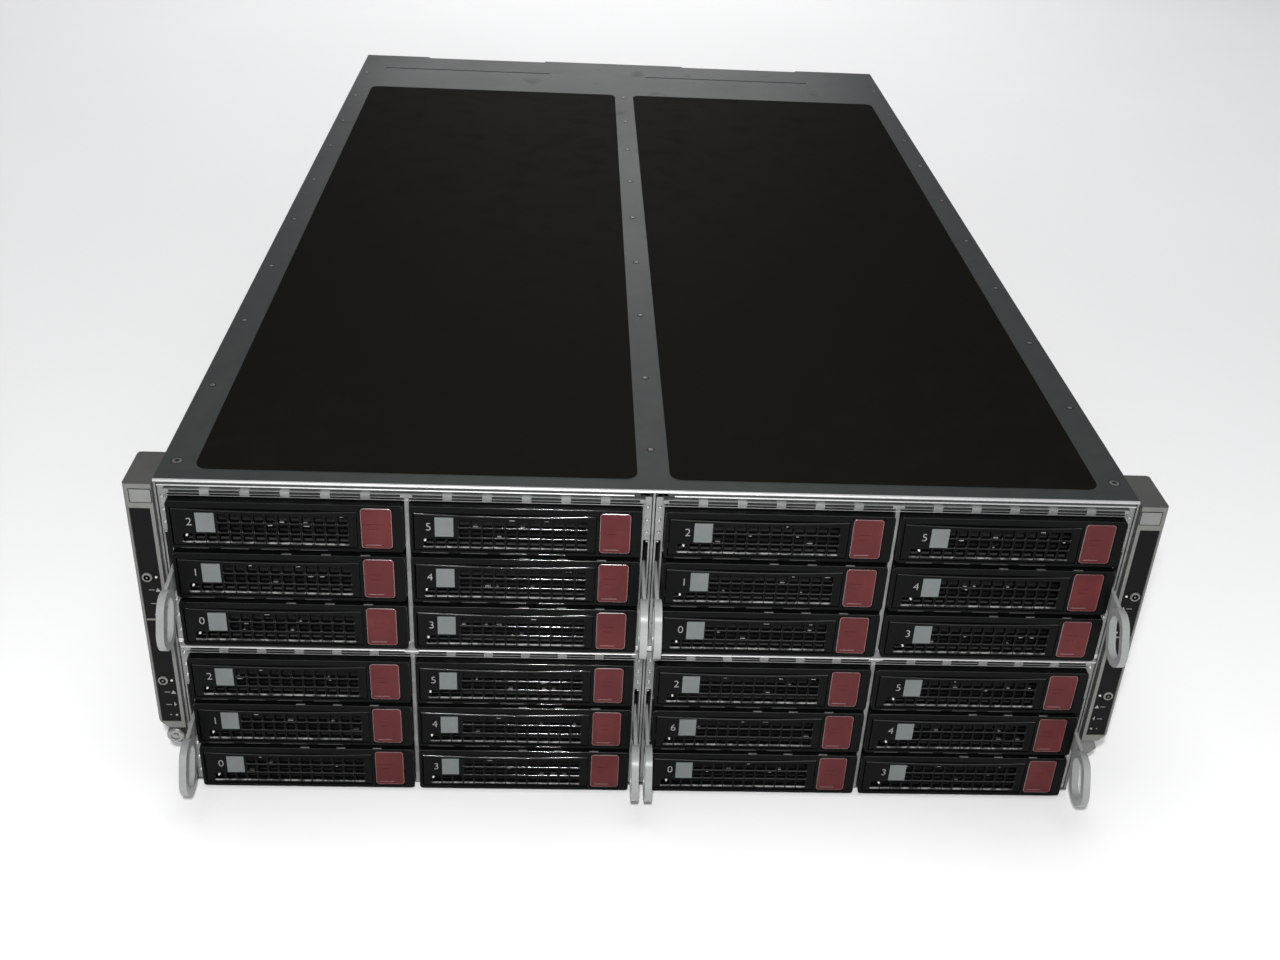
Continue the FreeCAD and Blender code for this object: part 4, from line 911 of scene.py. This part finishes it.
def ear_marks(bm, sign, plate, level):
    """Lamp, dashes, triangle, bolt and two dots by a power button; no words."""
    face = FRONT - 2.6
    turned(bm, (sign * 227.6, face, level), (0, -1, 0), 0.6, 0.35, 2, 16, 0.9, 0.1)
    for drop in (7.2, 14.9):
        plate(229.2, 231.9, level - drop - 0.15, level - drop + 0.15, -0.2, 0.0, 3, 0.05)
    made = bmesh.ops.create_cone(bm, cap_ends=True, segments=3, radius1=1.35, radius2=1.35, depth=0.1)
    verts = made["verts"]
    swing(bm, verts, QUARTER, "X")
    bmesh.ops.translate(bm, vec=(sign * 227.6, face - 0.1, level - 7.4), verts=verts)
    paint_round(verts, 3)
    for left, right, deep, shallow in (
        (227.5, 228.0, 15.8, 13.6),
        (226.9, 227.5, 15.0, 14.5),
        (227.0, 228.1, 21.8, 20.8),
        (230.0, 230.7, 21.6, 21.0),
    ):
        plate(left, right, level - deep, level - shallow, -0.2, 0.0, 3, 0.05)


def build_ears():
    for side, sign in (("left", -1), ("right", 1)):
        node = f"ear_{side}"
        body = cad_copy(node)
        round_edges(body, sharp_edges(body.faces), 0.5, 3)
        for item in body.faces:
            item.material_index = int(item.normal.y < -0.8)
        piece(f"{node}_dressed", body, "chassis", ("ear", "border"), (node,))
        bm = bmesh.new()
        face = FRONT - 2.5

        def plate(left, right, low, high, front, back, paint, radius):
            ends = sorted((sign * left, sign * right))
            rounded_box(bm, (ends[0], face + front, low), (ends[1], face + back, high), radius, paint)

        plate(*PANEL_SIDES, 40.6, 101.2, -0.12, 0.1, 0, 0.08)
        plate(*PANEL_SIDES, 102.2, 163.3, -0.12, 0.1, 0, 0.08)
        plate(*PANEL_SIDES, 101.2, 102.2, -0.2, 0.1, 4, 0.08)
        plate(224.15, 234.3, 166.2, 173.6, -0.56, -0.4, 0, 0.05)
        plate(224.5, 233.9, 166.6, 173.2, -0.7, -0.4, 1, 0.12)
        for level in BUTTON_LEVELS:
            ear_marks(bm, sign, plate, level)
        paints = ("panel", "badge", "lamp", "ink", "border")
        piece(f"ear_panel_{side}", bm, "chassis", paints, ())
        for height in ("upper", "lower"):
            name = f"power_button_{side}_{height}"
            low, high = (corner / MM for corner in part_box(name))
            middle = (low + high) / 2
            button = bmesh.new()
            ahead = (0, -1, 0)
            length = high.y - low.y
            turned(button, (middle.x, high.y, middle.z), ahead, 2.4, length, 0, 32, 1.0, 0.35)
            # A dark disc on the button's face: painted shade.
            turned(button, (middle.x, low.y + 0.05, middle.z), ahead, 1.55, 0.05, 1, 24)
            turned(button, (middle.x, low.y + 0.04, middle.z), ahead, 0.5, 0.07, 0, 24)
            piece(f"{name}_dressed", button, name, ("power", "painted_shade"), (name,))


def build_thumbscrew():
    """Knurled head with turned rings, on a collar and a shank."""
    low, high = (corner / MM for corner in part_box("rack_thumbscrew"))
    bm = bmesh.new()
    profile = ((0.0, 0.0), (1.3, 0.0), (1.4, 0.5), (2.2, 0.5), (2.3, 0.1), (3.5, 0.1), (4.1, 0.6))
    profile += ((4.1, 5.0), (2.9, 5.0), (2.9, 7.6), (2.4, 7.6), (2.4, 26.2), (1.7, 27.0), (0.0, 27.0))
    verts = [bm.verts.new((radius, back, 0.0)) for radius, back in profile]
    edges = [bm.edges.new(pair) for pair in zip(verts, verts[1:])]
    bmesh.ops.spin(
        bm,
        geom=verts + edges,
        cent=(0, 0, 0),
        axis=(0, 1, 0),
        angle=math.tau,
        steps=48,
        use_merge=True,
    )
    bmesh.ops.remove_doubles(bm, verts=bm.verts, dist=0.001)
    bmesh.ops.recalc_face_normals(bm, faces=bm.faces)
    for vert in bm.verts:
        radius = math.hypot(vert.co.x, vert.co.z)
        turn = round(math.atan2(vert.co.z, vert.co.x) / math.tau * 48)
        if radius > 4.0 and turn % 2:
            vert.co.x *= 4.4 / radius
            vert.co.z *= 4.4 / radius
    middle = ((low.x + high.x) / 2, low.y, (low.z + high.z) / 2)
    bmesh.ops.translate(bm, vec=middle, verts=bm.verts)
    stands_for = ("rack_thumbscrew",)
    piece("rack_thumbscrew_dressed", bm, "rack_thumbscrew", ("screw",), stands_for, 25.0)


def build_levers():
    for bay in BAYS:
        for side in COLUMNS:
            name = f"ring_lever_{bay}_{side}"
            dress(name, name, ("lever",), plain, 0.65)


# Sleds and power supplies, drawn from the front of the cover and the sled's underside

# Bright metal and lighter steel stand for highlights (painted highlight); then brass and a lamp.
TRIM_PAINTS = ("edge", "front_highlight", "brass", "lamp")
PART_PAINTS = ("dark", "fins", "chip", "ivory", "screw", "brass")
DARK, FINS, CHIP, IVORY, STEEL, BRASS = range(len(PART_PAINTS))
BOARD_TOP = 7.3


def sled_trim(bm):
    """Rolled edges and tabs of the vented strip, divider cap, flange rivets and jack contacts; the edges
    and rivets are in bright metal and the tabs and cap in lighter steel, both painted highlight.
    """
    # A rolled bead in bright metal: painted highlight.
    rounded_box(bm, (-107.4, -2.35, 80.95), (107.4, -1.75, 81.35), 0.15, 0)
    for middle in (-COLUMN_CENTRE, COLUMN_CENTRE):
        for index in range(-2, 3):
            across = middle + index * CONTACT_PITCH
            rounded_box(bm, (across - 2.2, -2.25, 80.9), (across + 2.2, 1.4, 84.3), 0.25, 1)
    rounded_box(bm, (-1.1, -2.0, 1.2), (1.1, 0.95, 82.1), 0.3, 1)
    for side in (-1, 1):
        for up in (5.0, 13.5, 22.5, 65.5, 72.0, 79.0):
            turned(bm, (side * 108.9, 0.6, up), (0, -1, 0), 1.0, 0.6, 0, 12, 0.5)
        for up in (28.6, 60.4):
            middle = side * 109.2
            rounded_box(bm, (middle - 0.5, 0.1, up - 0.4), (middle + 0.5, 0.6, up + 0.4), 0.15, 0)
    for index in range(3):
        left = -98.7 + index * 19.0
        for contact in range(8):
            across = left + 3.4 + contact * 1.25
            box_faces(bm, (across, 720.0, 17.2), (across + 0.5, 730.0, 18.2), 2)
        for corner in (left + 0.6, left + 12.8):
            rounded_box(bm, (corner, 735.8, 19.3), (corner + 2.6, 736.1, 20.6), 0.1, 3)


def fan_rotor(bm, middle):
    """Hub and seven twisted blades."""
    level = 40.8
    turned(bm, (middle, 221.0, level), (0, -1, 0), 15.0, 36.0, DARK, 32, 1.0, 1.5)
    for index in range(7):
        start = index * math.tau / 7
        verts = bmesh.ops.create_grid(bm, x_segments=4, y_segments=4, size=1.0)["verts"]
        for vert in verts:
            radius = 25.6 + 10.9 * vert.co.x
            angle = start + 0.42 * vert.co.y + 0.12 * vert.co.x
            back = 203.0 + 13.0 * vert.co.y
            vert.co = (middle + radius * math.cos(angle), back, level + radius * math.sin(angle))
        faces = list({face for vert in verts for face in vert.link_faces})
        made = bmesh.ops.solidify(bm, geom=faces, thickness=1.1)
        for item in faces + made["geom"]:
            if isinstance(item, bmesh.types.BMFace):
                item.material_index = DARK


def heat_sink(bm, front):
    """Base plate, thin fins and the bar that clamps it."""
    rounded_box(bm, (-66.2, front, 7.4), (9.7, front + 92.0, 13.4), 0.4, FINS)
    for index in range(24):
        left = -66.0 + index * 3.265
        box_faces(bm, (left, front + 0.5, 13.2), (left + 0.6, front + 91.5, 63.2), FINS)
    rounded_box(bm, (-66.0, front + 42.0, 61.6), (9.5, front + 50.0, 63.3), 0.3, STEEL)


def sled_parts(bm):
    """What the backplane and mainboard carry, and the turning parts of the fans."""
    for middle in (-52.0, 52.0):
        fan_rotor(bm, middle)
    for front in (300.0, 410.0):
        heat_sink(bm, front)
    for row in range(3):
        base = 1.0 + row * ROW_PITCH
        for middle in (-COLUMN_CENTRE, COLUMN_CENTRE):
            plug = (middle - 42.0, 155.4, base + 0.8)
            rounded_box(bm, plug, (middle + 2.0, 165.1, base + 6.4), 0.4, CHIP)
            chip = (middle - 14.0, 166.4, base + 3.0)
            rounded_box(bm, chip, (middle + 14.0, 173.0, base + 9.0), 0.5, CHIP)
    for bank in (-98.7, 14.2):
        for index in range(4):
            left = bank + index * 8.0
            rounded_box(bm, (left - 0.9, 316.5, BOARD_TOP), (left + 4.9, 456.5, 13.0), 0.4, CHIP)
            for back in (315.5, 453.4):
                rounded_box(bm, (left + 0.2, back, 10.0), (left + 3.8, back + 4.1, 31.0), 0.6, IVORY)
    for column in range(5):
        for back in (284.0, 292.0):
            across = -60.0 + column * 15.0
            rounded_box(bm, (across, back - 3.5, BOARD_TOP), (across + 7.0, back + 3.5, 13.5), 0.5, CHIP)
            turned(bm, (across + 11.0, back, BOARD_TOP), (0, 0, 1), 2.9, 9.0, STEEL, 20, 1.0, 0.5)
    for across in (-96.0, -76.0, -56.0):
        rounded_box(bm, (across - 3.7, 560.0, BOARD_TOP), (across + 3.7, 690.0, 18.4), 0.5, DARK)
        box_faces(bm, (across - 0.8, 562.0, 18.3), (across + 0.8, 688.0, 18.5), BRASS)
    rounded_box(bm, (-32.0, 560.0, BOARD_TOP), (2.0, 594.0, 9.4), 0.4, CHIP)
    rounded_box(bm, (-30.0, 562.0, 9.3), (0.0, 592.0, 11.0), 0.3, FINS)
    for index in range(11):
        left = -30.0 + index * 2.9
        box_faces(bm, (left, 562.0, 10.9), (left + 1.0, 592.0, 20.0), FINS)
    rounded_box(bm, (-28.0, 640.0, BOARD_TOP), (-6.0, 662.0, 9.0), 0.3, CHIP)
    turned(bm, (24.0, 560.0, BOARD_TOP), (0, 0, 1), 10.5, 4.0, DARK, 32)
    turned(bm, (24.0, 560.0, 11.0), (0, 0, 1), 9.8, 1.2, STEEL, 32, 0.96)
    for index in range(6):
        front = 596.0 + index * 18.0
        rounded_box(bm, (30.0, front, BOARD_TOP), (44.0, front + 13.0, 14.0), 0.5, CHIP)
    for index in range(12):
        across = -20.0 + (index % 4) * 9.0
        back = 604.0 + (index // 4) * 9.0
        turned(bm, (across, back, BOARD_TOP), (0, 0, 1), 2.4, 7.0, STEEL, 16, 1.0, 0.4)


def supply_parts(bm):
    """Fan with its wire guard, inlet pins and a lamp, over the bay's floor."""
    across = 96.85
    level = 20.3
    turned(bm, (across, 734.2, level), (0, 1, 0), 4.6, 1.9, DARK, 24, 0.95)
    for index in range(7):
        angle = index * math.tau / 7
        verts = bmesh.ops.create_cube(bm, size=1.0)["verts"]
        bmesh.ops.scale(bm, vec=(7.8, 0.5, 3.6), verts=verts)
        swing(bm, verts, 0.3, "X")
        bmesh.ops.translate(bm, vec=(8.2, 0, 0), verts=verts)
        swing(bm, verts, angle, "Y")
        bmesh.ops.translate(bm, vec=(across, 735.0, level), verts=verts)
    for radius in (4.0, 7.0, 10.0, 12.4):
        wire_ring(bm, across, level, radius)
    for turn in (0.0, QUARTER):
        verts = bmesh.ops.create_cube(bm, size=1.0)["verts"]
        bmesh.ops.scale(bm, vec=(24.8, 0.4, 0.7), verts=verts)
        swing(bm, verts, turn, "Y")
        bmesh.ops.translate(bm, vec=(across, 736.3, level), verts=verts)
        paint_round(verts, STEEL)
    for pin_x, pin_z in ((64.0, 10.3), (75.2, 10.3), (69.6, 15.2)):
        rounded_box(bm, (pin_x - 1.0, 722.8, pin_z - 2.0), (pin_x + 1.0, 734.0, pin_z + 2.0), 0.3, BRASS)
    turned(bm, (107.0, 736.8, 35.5), (0, 1, 0), 1.2, 0.5, BRASS, 16)


def wire_ring(bm, across, level, radius):
    """A flat ring of the fan guard, on the rear plane."""
    before = set(bm.verts)
    circle = bmesh.ops.create_circle(bm, segments=8, radius=0.35)["verts"]
    edges = list({edge for vert in circle for edge in vert.link_edges})
    bmesh.ops.translate(bm, vec=(radius, 0, 0), verts=circle)
    bmesh.ops.spin(
        bm,
        geom=circle + edges,
        cent=(0, 0, 0),
        axis=(0, 0, 1),
        angle=math.tau,
        steps=40,
        use_merge=True,
    )
    verts = [vert for vert in bm.verts if vert not in before]
    swing(bm, verts, QUARTER, "X")
    bmesh.ops.translate(bm, vec=(across, 736.4, level), verts=verts)
    paint_round(verts, STEEL)


def tray_paint(size):
    return int(size.y < 22 and size.x < 18)


def board_paint(size):
    if size.z < 2 or size.y < 1.8:
        return 0
    if size.y > 120:
        return 1
    return 2 if max(size) < 9 else 3


def hub_or_sink(size):
    hub = abs(size.y - 38.0) < 0.1 and size.x < 35.0
    return hub or abs(size.y - 92.0) < 0.1


def supply_paint(size):
    if size.y > 100:
        return 0
    return 1 if size.y > 15 else 2


def build_sleds():
    trim = shape(sled_trim)
    parts = shape(sled_parts)
    supply = shape(supply_parts)
    for bay in BAYS:
        body = f"sled_{bay}"
        tray = f"sled_tray_{bay}"
        boards = f"sled_boards_{bay}"
        low, high = (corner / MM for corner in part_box(tray))
        origin = Vector(((low.x + high.x) / 2, FRONT, low.z))
        paints = ("zinc", "screw", "front_highlight")
        # The tray's front-facing faces get the lighter steel: painted highlight.
        dress(tray, body, paints, tray_paint, 0.15, front=2, crease=SHEET_CREASE)
        paints = ("board", "module", "brass", "dark")
        dress(boards, body, paints, board_paint, 0.2, hub_or_sink)
        for name, mesh, paints, slot in (
            (f"sled_trim_{bay}", trim, TRIM_PAINTS, "sled_steel"),
            (f"sled_parts_{bay}", parts, PART_PAINTS, "circuit_board"),
        ):
            bm = bmesh.new()
            join(bm, mesh, origin)
            piece(name, bm, body, paints, ())
        name = f"power_supply_{bay}"
        dress(name, name, ("supply", "dark", "red"), supply_paint, 0.3)
        bm = bmesh.new()
        join(bm, supply, origin - Vector((0, 0, 0.2)))
        piece(f"supply_parts_{bay}", bm, name, PART_PAINTS, ())


build_carriers()
build_cover()
build_fixings()
build_ears()
build_thumbscrew()
build_levers()
build_sleds()


# Floor, light and camera

def build_stage():
    paint = Paint("floor_pale")
    clouds = paint.noise(3.0, 3.0)
    paint.done(paint.mix(clouds, tone(244, 244, 243), tone(250, 250, 249)), 0.8)
    bm = bmesh.new()
    bmesh.ops.create_grid(bm, x_segments=1, y_segments=1, size=14.0)
    bmesh.ops.translate(bm, vec=(0, 0, -0.0004), verts=bm.verts)
    mesh = bpy.data.meshes.new("floor")
    bm.to_mesh(mesh)
    bm.free()
    mesh.materials.append(paint.material)
    floor = bpy.data.objects.new("floor", mesh)
    bpy.context.scene.collection.objects.link(floor)


def area_light(name, place, target, size, power):
    light = bpy.data.lights.new(name, "AREA")
    light.shape = "DISK"
    light.size = size
    light.energy = power
    item = bpy.data.objects.new(name, light)
    bpy.context.scene.collection.objects.link(item)
    item.location = place
    aim = Vector(target) - Vector(place)
    item.rotation_euler = aim.to_track_quat("-Z", "Y").to_euler()
    return item


def build_light():
    area_light("key", (-0.055, -0.95, 0.62), (0, -0.3, 0.1), 0.04, 6.5)
    area_light("front", (0.3, -2.3, 0.5), (0, -0.3, 0.08), 0.9, 2.5)
    overhead = area_light("overhead", (0.0, 0.2, 2.7), (0, 0.0, 0.1), 2.6, 35.0)
    area_light("rear", (0.0, 2.0, 0.75), (0, 0.25, 0.17), 1.0, 2.8)
    backdrop = area_light("backdrop", (0.0, 2.2, 1.6), (0, 2.2, 0.0), 2.4, 16.0)
    overhead.visible_glossy = False
    backdrop.visible_glossy = False
    world = bpy.data.worlds.new("studio")
    world.use_nodes = True
    background = world.node_tree.nodes["Background"]
    background.inputs["Color"].default_value = (0.93, 0.95, 1.0, 1.0)
    background.inputs["Strength"].default_value = 0.26
    bpy.context.scene.world = world


def build_camera():
    """Camera as the photograph's edges fix it: place, three directions and focal length in pixels."""
    right = Vector((0.998416, -0.031801, 0.046405))
    down = Vector((0.023718, -0.510028, -0.859831))
    forward = Vector((0.051011, 0.859570, -0.508466))
    focal_pixels = 1438.06
    image_width = 1280
    lens_data = bpy.data.cameras.new("camera")
    lens_data.sensor_fit = "HORIZONTAL"
    lens_data.sensor_width = 36.0
    lens_data.lens = 36.0 * focal_pixels / image_width
    lens_data.clip_start = 0.01
    item = bpy.data.objects.new("camera", lens_data)
    bpy.context.scene.collection.objects.link(item)
    turn = Matrix((right, -down, -forward)).transposed().to_4x4()
    item.matrix_world = Matrix.Translation((-0.04005, -0.91845, 0.51122)) @ turn
    bpy.context.scene.camera = item


build_stage()
build_light()
build_camera()
bpy.context.scene.view_settings.view_transform = "Standard"
